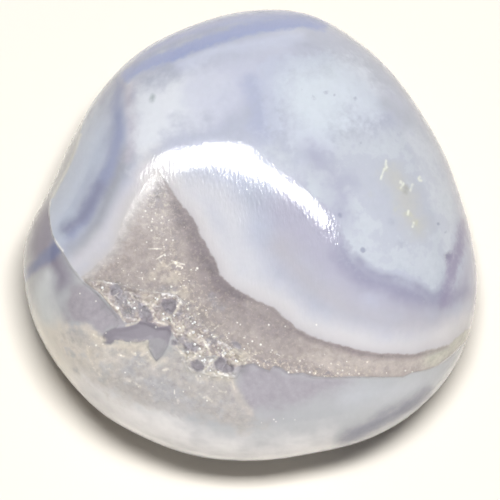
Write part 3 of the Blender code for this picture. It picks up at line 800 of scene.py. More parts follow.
    edges: tuple[Zone, ...] = (
        Zone("left_fade", (208, 204, 203), DRUZY_LEFT[1:],
             half_width=0.35, softness=0.6, coarse=0.12, fine=0.05),
        # Painted shade: the gap is sunk only a little, and its dark colour stands for the shade inside it.
        Zone("gap", (147, 141, 150), GAP, softness=0.09, fine=0.03, strength=0.95, shift=0.04),
        Zone("tooth", (165, 163, 166), TOOTH, softness=0.09, fine=0.03, strength=0.8, shift=0.02),
        # Painted shade: the pits are sunk only a little, and their dark colour stands for the shade in
        # them.
        Patches("pits", (146, 141, 148), softness=0.08, fine=0.03, strength=0.9, shift=0.03,
                areas=tuple(outline for _, outline in PITS)),
        # Painted shadow: a thin dark line just under the ledge's low step on the right, where its lip
        # casts shade.
        Zone("ledge_line", (150, 147, 150),
             ((-0.6, -8.2), *shifted(Ledge.line[28:37] + Ledge.line[38:44], 0.0, -0.06),
              (14.2, -6.75)),
             half_width=0.05, softness=0.09, fine=0.07, strength=0.6),
        Spots("seam_dusk", (163, 160, 165), softness=0.16, fine=0.1, coarse=0.1, strength=0.65,
              spots=SEAM_DUSK),
        Spots("seam_clumps", (216, 206, 192), softness=0.16, fine=0.16, coarse=0.1, strength=0.5,
              spots=SEAM_CLUMPS),
        Strokes("seam_lines", (232, 224, 211), half_width=0.05, softness=0.08, fine=0.06,
                strength=0.75, strokes=SEAM_LINES),
        Strokes("soft_arc", (214, 210, 203), half_width=0.08, softness=0.16, fine=0.1, strength=0.75,
                strokes=(((-9.43, -9.33), (-8.63, -9.13), (-7.66, -9.17), (-7.09, -9.05)),)),
        Strokes("low_lines", (234, 228, 217), half_width=0.045, softness=0.09, fine=0.08,
                strength=0.75, strokes=(
                    ((-7.54, -7.95), (-7.2, -8.15), (-6.77, -8.15)),
                    ((-9.35, -8.45), (-8.9, -8.6), (-8.45, -8.4)),
                    ((-2.8, -10.3), (-2.5, -10.55), (-2.2, -10.4)),
                    ((-4.8, -10.45), (-4.62, -10.75)), ((-2, -9.85), (-1.7, -10), (-1.55, -9.9)),
                    ((-10.3, -8.35), (-9.95, -8.7), (-9.7, -9.05)),
                    ((-7.9, -9.2), (-7.5, -9.35), (-7.2, -9.6)),
                    ((-5.9, -9.2), (-5.6, -9.4)), ((-6.6, -10.1), (-6.3, -10.2)),
                    ((-3.5, -8.9), (-3.3, -9.25)), ((-5.7, -8.5), (-5.35, -8.45)),
                    ((-8.1, -8.1), (-7.8, -8.25)), ((-3.3, -10.1), (-3.05, -10.3)))),
        Zone("rim_cream", (224, 224, 219),
             ((-11.35, 7), (-11.6, 6.1), (-12, 5.05), (-12.62, 3.72), (-13.05, 2.85)),
             half_width=0.12, softness=0.1, fine=0.04, strength=0.75),
        # Painted highlight on the lip of the ledge's left part, also covering the shade of its step.
        Zone("left_lip", (222, 224, 230),
             ((-13.25, 2.5), (-13.3, 1.9), (-13.24, 1.1), (-13.12, 0.42), (-12.84, -0.2), (-12.43, -0.75),
              (-11.83, -1.7), (-11, -2.65)),
             half_width=0.07, softness=0.1, fine=0.03, strength=0.6),
        Zone("lip_glint", (255, 255, 255), ((-12.9, 0.05), (-12.7, -0.28), (-12.34, -0.72)),
             half_width=0.08, softness=0.08, fine=0.03, strength=0.95),
        Spots("grain_glints", (255, 253, 246), softness=0.045, fine=0.02, spots=GRAIN_GLINTS),
        # Painted glints, drawn as short strokes.
        Strokes("grain_streaks", (255, 251, 240), half_width=0.028, softness=0.045, fine=0.03,
                strength=0.75, strokes=GRAIN_GLINT_STREAKS),
    )
    sparkle_everywhere: float = 0.08
    sparkle_near_strip: float = 0.22
    sparkle_on_seam: float = 0.45
    sparkle_over_ledge: float = 0.7
    near_reach: float = 1.1
    sparkle_reach: float = 0.8
    ledge_from: float = -3.0
    ledge_to: float = 9.5

    def layers(self) -> tuple[tuple[Layer, tuple[Zone, ...]], ...]:
        """Zones of each layer, in the order in which they are painted."""
        return ((Layer.UPPER, self.upper), (Layer.DRUZY, self.druzy), (Layer.LOWER, self.lower),
                (Layer.EDGES, self.edges))

    def zones(self) -> tuple[Zone, ...]:
        """Every zone, in the order in which they are painted."""
        return self.upper + self.druzy + self.lower + self.edges

    def zone(self, name: str) -> Zone:
        """The zone of a name."""
        return next(zone for zone in self.zones() if zone.name == name)

    def sparkle(self, points: Array, inside: Array, below: Array) -> Array:
        """How thickly the surface is set with painted glints, quartz flecks and crystals.

        Args:
            points: Places on the worn form.
            inside: Their signed distance from the broken strip's border.
            below: Their signed distance from the ledge's edge.

        Returns:
            One density of 0 to 1 for each point.
        """
        near = np.exp(-np.maximum(-inside, 0.0) / self.near_reach)
        seam = np.exp(-((distance_to_line(points, self.seam, False) / self.sparkle_reach) ** 2))
        edge = np.exp(-((np.minimum(below, 0.0) / self.sparkle_reach) ** 2)) * (below < 0.1)
        edge = edge * smooth_step((points[:, 0] - self.ledge_from) / 2.0)
        edge = edge * smooth_step((self.ledge_to - points[:, 0]) / 4.0)
        density = self.sparkle_everywhere + self.sparkle_near_strip * near
        density = density + self.sparkle_on_seam * seam * (below < 0) + self.sparkle_over_ledge * edge
        druzy = share_inside(points, self.zone("druzy").line, 0.5)
        low = share_inside(points, self.zone("druzy_low").line, 0.4)
        quartz = np.maximum(druzy * (below < 0.05), low * (below > 0.05))
        closed = 1 - share_inside(points, GAP, 0.1)
        return np.clip(density * quartz * closed * (points[:, 2] > 0), 0.0, 1.0)


class Links:
    """Small helper that adds nodes to one tree and joins them up."""

    def __init__(self, tree: bpy.types.NodeTree) -> None:
        """Take the tree that the nodes go into."""
        self.tree = tree

    def feed(self, socket: Socket, value: object) -> None:
        """Give a socket a constant, or join it to the socket that feeds it.

        Args:
            socket: The socket that takes the value.
            value: A constant or another socket.
        """
        if isinstance(value, Socket):
            self.tree.links.new(value, socket)
        else:
            socket.default_value = value

    def add(self, kind: str, values: dict[str | int, object] | None = None,
            **settings: object) -> bpy.types.Node:
        """Add one node.

        Args:
            kind: Node type.
            values: Socket name or number to a constant, or to the socket that feeds it.
            **settings: Properties of the node itself.

        Returns:
            The new node.
        """
        node = self.tree.nodes.new(kind)
        for name, value in settings.items():
            setattr(node, name, value)
        for name, value in (values or {}).items():
            self.feed(node.inputs[name], value)
        return node

    def math(self, operation: str, *values: object, clamp: bool = False) -> Socket:
        """Add a math node and return its result."""
        inputs = dict(enumerate(values))
        return self.add("ShaderNodeMath", inputs, operation=operation, use_clamp=clamp).outputs[0]

    def vector(self, operation: str, *values: object) -> Socket:
        """Add a vector math node and return its result."""
        return self.add("ShaderNodeVectorMath", dict(enumerate(values)), operation=operation).outputs[0]

    def mix(self, share: object, first: object, second: object) -> Socket:
        """Blend two colours by a share and return the result."""
        node = self.add("ShaderNodeMix", {0: share, 6: first, 7: second}, data_type="RGBA")
        return node.outputs[2]

    def spread(self, value: object, low: object, high: object, smooth: bool = False,
               ends: Point = (0.0, 1.0)) -> Socket:
        """Spread a value between two limits over another range.

        Args:
            value: The value.
            low: Limit that becomes the first end.
            high: Limit that becomes the second end.
            smooth: Whether the change starts and stops gently.
            ends: The two ends of the new range.

        Returns:
            The value in its new range, held at the ends past the limits.
        """
        node = self.add(
            "ShaderNodeMapRange",
            {"Value": value, "From Min": low, "From Max": high, "To Min": ends[0], "To Max": ends[1]},
            interpolation_type="SMOOTHSTEP" if smooth else "LINEAR",
        )
        return node.outputs[0]

    def noise(self, place: Socket, scale: object, detail: float = 2.0, rough: float = 0.5) -> Socket:
        """Add a cloudy texture.

        Args:
            place: Place that it is read at.
            scale: How many clouds there are in one unit of the place.
            detail: How many finer steps are added to them.
            rough: How strong the finer steps are.

        Returns:
            Its value, which varies about 0.5.
        """
        values = {"Vector": place, "Scale": scale, "Detail": detail, "Roughness": rough}
        return self.add("ShaderNodeTexNoise", values).outputs[0]

    def cells(self, place: Socket, size: object, feature: str = "F1") -> bpy.types.Node:
        """Add a texture of irregular cells.

        Args:
            place: Place that it is read at.
            size: Size of its cells.
            feature: What its distance is measured to.

        Returns:
            The texture's node.
        """
        values = {"Vector": place, "Scale": self.math("DIVIDE", 1.0, size)}
        return self.add("ShaderNodeTexVoronoi", values, feature=feature)

    def attribute(self, name: str, output: str = "Fac") -> Socket:
        """Read an attribute of the mesh."""
        return self.add("ShaderNodeAttribute", attribute_name=name).outputs[output]

    def group(self, name: str, build: Callable[[], bpy.types.NodeTree],
              values: dict[str, object]) -> Outputs:
        """Add a node group, which is built the first time that it is asked for.

        Args:
            name: Name of the group.
            build: Function that builds it.
            values: Input name to a constant, or to the socket that feeds it.

        Returns:
            The outputs of the group's node.
        """
        tree = bpy.data.node_groups.get(name) or build()
        node = self.add("ShaderNodeGroup", node_tree=tree)
        for socket in node.inputs:
            value = values.get(socket.name)
            if value is None and socket.type == "VALUE":
                value = tree.interface.items_tree[socket.name].default_value
            if value is not None:
                self.feed(socket, value)
        return node.outputs


def rgba(colour: Shade, tone: float = 1.0) -> tuple[float, float, float, float]:
    """Linear colour with full cover, brought down by a tone."""
    return (*(channel * tone for channel in linear(*colour)), 1.0)


def group_with(name: str, inputs: dict[str, float | None],
               outputs: tuple[str, ...]) -> tuple[Links, Outputs, bpy.types.NodeInputs]:
    """Start a shader node group.

    Args:
        name: Name of the group.
        inputs: Input name to default value, or to None for a place.
        outputs: Names of its outputs, which are all plain values.

    Returns:
        The helper of its tree, the sockets that bring its inputs and those that take its outputs.
    """
    tree = bpy.data.node_groups.new(name, "ShaderNodeTree")
    for label, value in inputs.items():
        kind = "NodeSocketVector" if value is None else "NodeSocketFloat"
        socket = tree.interface.new_socket(label, in_out="INPUT", socket_type=kind)
        if value is not None:
            socket.default_value = value
    for label in outputs:
        tree.interface.new_socket(label, in_out="OUTPUT", socket_type="NodeSocketFloat")
    start, end = tree.nodes.new("NodeGroupInput"), tree.nodes.new("NodeGroupOutput")
    return Links(tree), start.outputs, end.inputs


def material_with(name: str,
                  constants: dict[str, object]) -> tuple[bpy.types.Material, Links, bpy.types.NodeInputs]:
    """Start a material.

    Args:
        name: Name of the material.
        constants: Socket name of its shader to the constant that it holds.

    Returns:
        The material, the helper of its tree and the sockets of its shader.
    """
    made = bpy.data.materials.new(name)
    made.use_nodes = True
    shader = made.node_tree.nodes["Principled BSDF"]
    for label, value in constants.items():
        shader.inputs[label].default_value = value
    return made, Links(made.node_tree), shader.inputs


def zone_group() -> bpy.types.NodeTree:
    """Group that turns a zone's distance into its cover, with a mottled edge."""
    links, source, end = group_with(
        "zone_cover",
        {"Distance": 0.0, "Softness": 0.3, "Coarse": 0.0, "Fine": 0.0, "Strength": 1.0,
         "Coarse Noise": 0.0, "Fine Noise": 0.0},
        ("Cover",),
    )
    pushed = links.math("MULTIPLY_ADD", source["Coarse"], source["Coarse Noise"], source["Distance"])
    pushed = links.math("MULTIPLY_ADD", source["Fine"], source["Fine Noise"], pushed)
    low = links.math("MULTIPLY", source["Softness"], -1.0)
    cover = links.spread(pushed, low, source["Softness"], smooth=True)
    links.feed(end["Cover"], links.math("MULTIPLY", cover, source["Strength"]))
    return links.tree


def mottling_group() -> bpy.types.NodeTree:
    """Group that makes the mottling of the stone and the grain of its quartz from a place."""
    links, source, end = group_with(
        "mottling",
        {"Place": None, "Coarse Size": 1.6, "Fine Size": 0.38, "Cloud Size": 4.5, "Patch Size": 0.75,
         "Grain Size": 0.3, "Warp Scale": 4.0, "Warp": 0.35},
        ("Coarse", "Fine", "Cloud", "Patch", "Grain"),
    )
    place = source["Place"]
    for label, detail, rough in (("Coarse", 2.0, 0.55), ("Fine", 3.0, 0.6), ("Cloud", 4.0, 0.6),
                                 ("Patch", 4.0, 0.65)):
        scale = links.math("DIVIDE", 1.0, source[label + " Size"])
        texture = links.noise(place, scale, detail, rough)
        links.feed(end[label], links.math("MULTIPLY_ADD", texture, 4.0, -2.0))
    bent = links.add("ShaderNodeTexNoise", {"Vector": place, "Scale": source["Warp Scale"],
                                            "Detail": 2.0})
    warped = links.vector("MULTIPLY_ADD", bent.outputs["Color"], source["Warp"], place)
    grains = links.cells(warped, source["Grain Size"])
    tone = links.add("ShaderNodeSeparateColor", {0: grains.outputs["Color"]})
    links.feed(end["Grain"], tone.outputs[0])
    return links.tree


def quartz_group() -> bpy.types.NodeTree:
    """Group that makes the cream clumps and the clear, dusky patches of the quartz."""
    links, source, end = group_with(
        "quartz_patches",
        {"Place": None, "Density": 0.3, "Clump Size": 0.22, "Patch Size": 0.4},
        ("Cream", "Dusk"),
    )
    for label, size, low, high, shift in (("Cream", "Clump Size", 0.5, 0.66, 0.0),
                                          ("Dusk", "Patch Size", 0.53, 0.66, 17.3)):
        moved = links.vector("ADD", source["Place"], (shift, shift, shift))
        texture = links.noise(moved, links.math("DIVIDE", 1.0, source[size]), 3.0, 0.6)
        share = links.spread(texture, low, high, smooth=True)
        often = links.math("MULTIPLY_ADD", source["Density"], 1.2, 0.1, clamp=True)
        links.feed(end[label], links.math("MULTIPLY", share, often))
    return links.tree


def glint_paint_group() -> bpy.types.NodeTree:
    """Group that scatters painted glints: small bright dots and short bright grain borders."""
    links, source, end = group_with(
        "sparkle",
        {"Place": None, "Density": 0.3, "Dot Size": 0.27, "Arc Size": 0.5, "Clump Scale": 1.1,
         "Opening Scale": 2.6},
        ("Cover",),
    )
    place, density = source["Place"], source["Density"]
    dots = links.cells(place, source["Dot Size"])
    pick = links.add("ShaderNodeSeparateColor", {0: dots.outputs["Color"]})
    reach = links.math("MULTIPLY_ADD", pick.outputs[1], 0.14, 0.12)
    round_dot = links.spread(dots.outputs["Distance"], reach, 0.02)
    clumped = links.spread(links.noise(place, source["Clump Scale"], 3.0), 0.42, 0.62)
    often = links.math("MULTIPLY", density, links.math("MULTIPLY_ADD", clumped, 0.26, 0.02))
    dot = links.math("MULTIPLY", round_dot, links.math("LESS_THAN", pick.outputs[0], often))
    borders = links.cells(place, source["Arc Size"], "DISTANCE_TO_EDGE")
    thin = links.spread(borders.outputs["Distance"], 0.1, 0.01)
    level = links.math("MULTIPLY_ADD", density, -0.16, 0.72)
    opening = links.noise(place, source["Opening Scale"])
    opened = links.spread(opening, level, links.math("ADD", level, 0.06))
    arc = links.math("MULTIPLY", links.math("MULTIPLY", thin, opened), 0.7)
    some = links.math("GREATER_THAN", density, 0.02)
    links.feed(end["Cover"], links.math("MULTIPLY", links.math("MAXIMUM", dot, arc), some))
    return links.tree


@dataclass(frozen=True)
class AgateFinish:
    """Polish and depth of the chalcedony, with its pattern.

    The comb is a faint unevenness of the polish that feathers the window's reflection. Its height
    goes from the first of comb_heights to the second over comb_span, in millimetres across.
    """

    pattern: AgatePattern
    name: str = "polished_agate"
    tone: float = 0.82
    gloss: float = 0.5
    roughness: float = 0.1
    druzy_roughness: float = 0.2
    gap_dullness: float = 0.35
    bump: float = 0.00003
    bump_strength: float = 0.45
    comb_stretch: Triple = (6.0, 2.2, 2.2)
    comb_span: Point = (-6.5, -3.0)
    comb_heights: Point = (0.4, 0.66)
    subsurface: float = 0.7
    subsurface_scale: float = 0.001
    ledge_edge: float = 0.06
    shade_mottle: float = 0.6
    painted_glint_colour: Shade = (255, 250, 238)
    cream_colour: Shade = (226, 215, 198)
    cream_share: float = 0.7
    dusk_colour: Shade = (158, 152, 158)
    dusk_share: float = 0.75

    def material(self) -> bpy.types.Material:
        """Build the material that reads the zones' distances from the mesh."""
        made, links, shader = material_with(self.name, {
            "IOR": QUARTZ_IOR, "Specular IOR Level": self.gloss,
            "Subsurface Weight": self.subsurface, "Subsurface Radius": SCATTER_RADIUS,
            "Subsurface Scale": self.subsurface_scale,
        })
        place = links.attribute("sheet_place", "Vector")
        mottle = links.group("mottling", mottling_group, {"Place": place})
        over = links.math("LESS_THAN", links.attribute("below_ledge"), self.ledge_edge)
        colour, covers = self.painted(links, mottle, over)
        grain = links.math("MULTIPLY", covers["druzy"], over)
        grain = links.math("MAXIMUM", grain, covers["druzy_low"])
        # The painted shade under the upper layer's lip and under the ledge takes the quartz's mottling
        # too.
        shade = links.math("ADD", covers["mauve_shade"], covers["under_shade"])
        mottled = links.math("MAXIMUM", grain, links.math("MULTIPLY", shade, self.shade_mottle))
        colour = self.grained(links, colour, mottled, mottle)
        dull = links.math("MAXIMUM", covers["gap"], covers["pits"])
        links.feed(shader["Base Color"], self.flecked(links, colour, place, grain, dull))
        shine = links.math("MULTIPLY_ADD", grain, self.druzy_roughness - self.roughness,
                           self.roughness)
        links.feed(shader["Roughness"], links.math("MULTIPLY_ADD", dull, self.gap_dullness, shine))
        links.feed(shader["Normal"], self.surface_normal(links, place, grain, mottle))
        return made

    def painted(self, links: Links, mottle: Outputs, over: Socket) -> tuple[Socket, dict[str, Socket]]:
        """Paint every zone over the ground, one after another.

        Args:
            links: Helper of the material's tree.
            mottle: Outputs of the mottling.
            over: Whether the shader is above the ledge.

        Returns:
            The painted colour, and the cover of each zone under its name.
        """
        cloud = links.math("MULTIPLY_ADD", mottle["Cloud"], 0.5, 0.5, clamp=True)
        colour = links.mix(cloud, rgba(self.pattern.ground_low, self.tone),
                           rgba(self.pattern.ground, self.tone))
        covers: dict[str, Socket] = {}
        for layer, zones in self.pattern.layers():
            for zone in zones:
                share = self.cover(links, zone, mottle)
                if layer is Layer.LOWER:
                    share = links.math("MULTIPLY", share, links.math("SUBTRACT", 1.0, over))
                elif layer is Layer.DRUZY and "druzy" in covers:
                    share = links.math("MULTIPLY", share, covers["druzy"])
                covers[zone.name] = share
                colour = links.mix(share, colour, rgba(zone.colour, self.tone))
        return colour, covers

    def cover(self, links: Links, zone: Zone, mottle: Outputs) -> Socket:
        """Share of the colour that a zone gives.

        Args:
            links: Helper of the material's tree.
            zone: The zone.
            mottle: Outputs of the mottling.

        Returns:
            The share, from 0 to the zone's strength.
        """
        values = {
            "Distance": links.attribute(zone.name), "Softness": zone.softness, "Coarse": zone.coarse,
            "Fine": zone.fine, "Strength": zone.strength, "Coarse Noise": mottle["Coarse"],
            "Fine Noise": mottle["Fine"],
        }
        return links.group("zone_cover", zone_group, values)["Cover"]

    def grained(self, links: Links, colour: Socket, cover: Socket, mottle: Outputs) -> Socket:
        """Vary the colour a little everywhere, and from grain to grain where the quartz is.

        Args:
            links: Helper of the material's tree.
            colour: Colour so far.
            cover: Where the quartz grains are.
            mottle: Outputs of the mottling.

        Returns:
            The varied colour.
        """
        light: object = 0.95
        for label, share in (("Grain", 0.1), ("Patch", 0.11), ("Fine", 0.08)):
            light = links.math("MULTIPLY_ADD", mottle[label], share, light)
        soft = links.math("MULTIPLY_ADD", links.math("SUBTRACT", light, 1.0), cover, 1.0)
        for label, share in (("Fine", 0.018), ("Patch", 0.012)):
            soft = links.math("MULTIPLY_ADD", mottle[label], share, soft)
        node = links.add("ShaderNodeVectorMath", {0: colour, "Scale": soft}, operation="SCALE")
        return node.outputs[0]

    def flecked(self, links: Links, colour: Socket, place: Socket, grain: Socket, dull: Socket) -> Socket:
        """Add the dusky and cream patches of the quartz, and painted glints over its grains.

        Args:
            links: Helper of the material's tree.
            colour: Colour so far.
            place: Where the shader is on the stone, in millimetres.
            grain: Where the quartz grains are.
            dull: Where the gap and the pits are.

        Returns:
            The colour with its flecks and painted glints.
        """
        values = {"Place": place, "Density": links.attribute("sparkle")}
        patches = links.group("quartz_patches", quartz_group, values)
        for label, tint, share in (("Dusk", self.dusk_colour, self.dusk_share),
                                   ("Cream", self.cream_colour, self.cream_share)):
            cover = links.math("MULTIPLY", patches[label], grain)
            cover = links.math("MULTIPLY", cover, links.math("MULTIPLY_ADD", dull, -share, share))
            colour = links.mix(cover, colour, rgba(tint, self.tone))
        bright = links.group("sparkle", glint_paint_group, values)["Cover"]
        return links.mix(bright, colour, rgba(self.painted_glint_colour))

    def surface_normal(self, links: Links, place: Socket, cover: Socket, mottle: Outputs) -> Socket:
        """Fine unevenness of the polish, and the slightly proud grains of the quartz.

        Args:
            links: Helper of the material's tree.
            place: Where the shader is on the stone, in millimetres.
            cover: Where the quartz grains are.
            mottle: Outputs of the mottling.

        Returns:
            The normal to shade with.
        """
        skin = links.noise(links.vector("MULTIPLY", place, self.comb_stretch), 1.0, 1.0)
        sideways = links.add("ShaderNodeSeparateXYZ", {0: place}).outputs[0]
        growing = links.spread(sideways, *self.comb_span, ends=self.comb_heights)
        calm = links.math("MULTIPLY_ADD", cover, -0.6, 1.0)
        comb = links.math("MULTIPLY", skin, links.math("MULTIPLY", growing, calm))
        grain = links.math("MULTIPLY", mottle["Fine"], cover)
        height = links.math("MULTIPLY_ADD", grain, 0.15, comb)
        values = {"Height": height, "Strength": self.bump_strength, "Distance": self.bump}
        return links.add("ShaderNodeBump", values).outputs["Normal"]


@dataclass(frozen=True)
class QuartzFinish:
    """Clear to milky faces of the small quartz crystals."""

    name: str = "quartz_crystals"
    pale: Shade = (206, 196, 184)
    dusky: Shade = (156, 148, 150)
    tone: float = 0.82
    gloss: float = 0.4
    roughness: float = 0.12
    transmission: float = 0.3
    subsurface: float = 0.3
    subsurface_scale: float = 0.0008
    patch_size: float = 0.5

    def material(self) -> bpy.types.Material:
        """Build the material."""
        made, links, shader = material_with(self.name, {
            "Roughness": self.roughness, "IOR": QUARTZ_IOR, "Specular IOR Level": self.gloss,
            "Transmission Weight": self.transmission, "Subsurface Weight": self.subsurface,
            "Subsurface Radius": SCATTER_RADIUS, "Subsurface Scale": self.subsurface_scale,
        })
        place = links.add("ShaderNodeTexCoord").outputs["Object"]
        patches = links.noise(place, 1 / (self.patch_size * MM))
        share = links.spread(patches, 0.4, 0.62)
        colour = links.mix(share, rgba(self.dusky, self.tone), rgba(self.pale, self.tone))
        links.feed(shader["Base Color"], colour)
        return made


class Relief(Enum):
    """Which surface a height is asked for."""

    STONE = "stone"
    CRUST = "crust"


@dataclass
class Pebble:
    """The stone's form with its ledge and hollow, shared by the stone and its crust."""

    form: WornForm = field(default_factory=WornForm)
    ledge: Ledge = field(default_factory=Ledge)
    hollow: Hollow = field(default_factory=Hollow)
    rest: Rest = field(default_factory=Rest)
    pattern: AgatePattern = field(default_factory=AgatePattern)
    back: float = -4.0
    drift: Point = (0.3, 0.22)
    drift_waver: float = 0.12

    def grains(self, points: Array, size: float, tilt: float) -> Array:
        """Height of small flat grain faces that each tilt their own way.

        Args:
            points: Places, one row each.
            size: Size of a grain, in millimetres.
            tilt: Steepest slope of a face.

        Returns:
            One height for each point, in millimetres.
        """
        heights = np.empty(len(points))
        for index, row in enumerate(points):
            place = Vector((row[0], row[1], 0.0)) / size
            _, centres = noise.voronoi(place)
            cell = centres[0]
            slope = noise.cell_vector(cell * 7.31) - Vector((0.5, 0.5, 0.5))
            off = place - cell
            heights[index] = size * tilt * (2 * (slope.x * off.x + slope.y * off.y) + slope.z)
        return heights

    def skin(self, points: Array, relief: Relief) -> Array:
        """Move worn points to the finished surface, in the view frame.

        Args:
            points: Places on the worn form, before its lean.
            relief: Whether the stone's or the crust's surface is asked for.

        Returns:
            The places on the finished surface.
        """
        normals = self.form.outward(points)
        sink = self.ledge.depth(points, self.ledge.distance(points))
        if relief is Relief.STONE:
            hollow = np.where(points[:, 2] > 0, self.hollow.trough(points), 0.0)
        else:
            hollow = self.hollow.bed(points)
        moved = points + normals * (self.form.waves(points) - sink)[:, None]
        moved[:, 2] += self.form.lean * points[:, 1] - hollow
        return moved

    def sheet_place(self, worn: Array) -> Array:
        """Place of each point in the stack of layers, so that the back differs from the front."""
        depth = np.maximum(0.0, 3.0 - worn[:, 2])
        far = smooth_step(depth / 8.0) * depth
        places = worn.copy()
        for axis, shift in ((0, 3), (1, 9)):
            waver = self.drift_waver * noise_field(worn, 6.0, shift)
            places[:, axis] += far * (self.drift[axis] + waver)
        return places

    def columns(self, worn: Array) -> tuple[Array, dict[str, Array]]:
        """Values that the finish reads from the mesh.

        Args:
            worn: Place of each vertex on the worn form.

        Returns:
            The place in the stack of layers, and the values of each layer under its name.
        """
        places = self.sheet_place(worn)
        below = self.ledge.distance(worn)
        below[worn[:, 2] < self.back] = -1.0
        values = {zone.name: zone.distance(places) for zone in self.pattern.zones()}
        values["below_ledge"] = below
        values["sparkle"] = self.pattern.sparkle(worn, self.hollow.inside(worn), below)
        return places, values


@dataclass
class AgateStone:
    """The polished pebble itself.

    The mesh starts as a fine sphere, gets finer where the surface has steps or marks, and is
    then moved onto the stone's form.
    """

    pebble: Pebble
    finish: AgateFinish
    detail: int = 6
    name: str = "agate_stone_visual"

    def wanted(self, points: Array, level: int) -> Array:
        """Say which vertices lie where the mesh has to be finer.

        Args:
            points: Places on the worn form.
            level: How many times the mesh has been made finer already.

        Returns:
            One truth value for each point.
        """
        front = points[:, 2] > -2.0
        if level == 0:
            return front
        edge = np.abs(self.pebble.ledge.distance(points) - 0.1)
        strip = self.pebble.hollow.inside(points)
        if level == 1:
            near = (edge < 0.8) | (np.abs(strip) < 0.9)
            marks = {"druzy": 0.45, "glints": 0.35, "cloud_mass": 0.35, "left_band": 0.3,
                     "top_band": 0.3, "grain_glints": 0.3, "grain_streaks": 0.3, "seam_lines": 0.3}
        else:
            near = (edge < 0.24) | (np.abs(strip - 0.1) < 0.24)
            marks = {"gap": 0.15, "grain_glints": 0.12, "grain_streaks": 0.12, "seam_lines": 0.1}
        for name, reach in marks.items():
            near |= np.abs(self.pebble.pattern.zone(name).distance(points)) < reach
        return front & near

    def directions(self) -> bmesh.types.BMesh:
        """Sphere whose mesh is finer where the stone needs it."""
        shape = bmesh.new()
        bmesh.ops.create_icosphere(shape, subdivisions=self.detail, radius=1.0)
        for level in range(3):
            near = self.wanted(self.pebble.form.on_surface(unit_rows(shape)), level)
            cut = [edge for edge in shape.edges
                   if near[edge.verts[0].index] or near[edge.verts[1].index]]
            bmesh.ops.subdivide_edges(shape, edges=cut, cuts=1)
            bmesh.ops.triangulate(shape, faces=shape.faces)
            shape.verts.index_update()
        return shape

    def build(self) -> bpy.types.Object:
        """Build the stone and return it."""
        shape = self.directions()
        worn = self.pebble.form.on_surface(unit_rows(shape))
        moved = self.pebble.rest.to_world(self.pebble.skin(worn, Relief.STONE))
        for vertex, place in zip(shape.verts, moved):
            vertex.co = place
        store(shape, *self.pebble.columns(worn))
        cut_flat(shape)
        return finished(shape, self.name, self.finish.material())


def unit_rows(shape: bmesh.types.BMesh) -> Array:
    """Directions of a sphere's vertices, as an array."""
    rows = np.array([vertex.co[:] for vertex in shape.verts])
    return rows / np.linalg.norm(rows, axis=1, keepdims=True)


def store(shape: bmesh.types.BMesh, places: Array, values: dict[str, Array]) -> None:
    """Write what the finish reads onto a shape's vertices.

    Args:
        shape: The shape.
        places: Place of each vertex in the stack of layers.
        values: Numbers for the vertices, under the names that the finish reads.
    """
    vector = shape.verts.layers.float_vector.new("sheet_place")
    for vertex, place in zip(shape.verts, places):
        vertex[vector] = place
    for label, column in values.items():
        layer = shape.verts.layers.float.new(label)
        for vertex, value in zip(shape.verts, column):
            vertex[layer] = value


def cut_flat(shape: bmesh.types.BMesh) -> None:
    """Cut a mesh off at the floor and close it with one flat face."""
    for face in shape.faces:
        face.smooth = True
    everything = list(shape.verts) + list(shape.edges) + list(shape.faces)
    cut = bmesh.ops.bisect_plane(
        shape, geom=everything, dist=1e-7, plane_co=(0, 0, 0), plane_no=(0, 0, 1), clear_inner=True
    )
    rim = [item for item in cut["geom_cut"] if isinstance(item, bmesh.types.BMEdge)]
    for edge in rim:
        edge.smooth = False
        for vertex in edge.verts:
            vertex.co.z = 0.0
    made = bmesh.ops.contextual_create(shape, geom=rim)
    for face in made["faces"]:
        face.smooth = False
    bmesh.ops.triangulate(shape, faces=made["faces"])
    bmesh.ops.recalc_face_normals(shape, faces=shape.faces)


def placed(name: str, data: bpy.types.ID) -> bpy.types.Object:
    """Put an object that shows the given data into the scene."""
    made = bpy.data.objects.new(name, data)
    bpy.context.scene.collection.objects.link(made)
    return made


def finished(shape: bmesh.types.BMesh, name: str, *materials: bpy.types.Material) -> bpy.types.Object:
    """Turn a shape into an object of the scene.

    Args:
        shape: The shape, which is used up.
        name: Name of the object.
        *materials: Its materials, in the order of their numbers.

    Returns:
        The object.
    """
    mesh = bpy.data.meshes.new(name)
    shape.to_mesh(mesh)
    shape.free()
    for material in materials:
        mesh.materials.append(material)
    LOG.info("%s: %d faces", name, len(mesh.polygons))
    return placed(name, mesh)


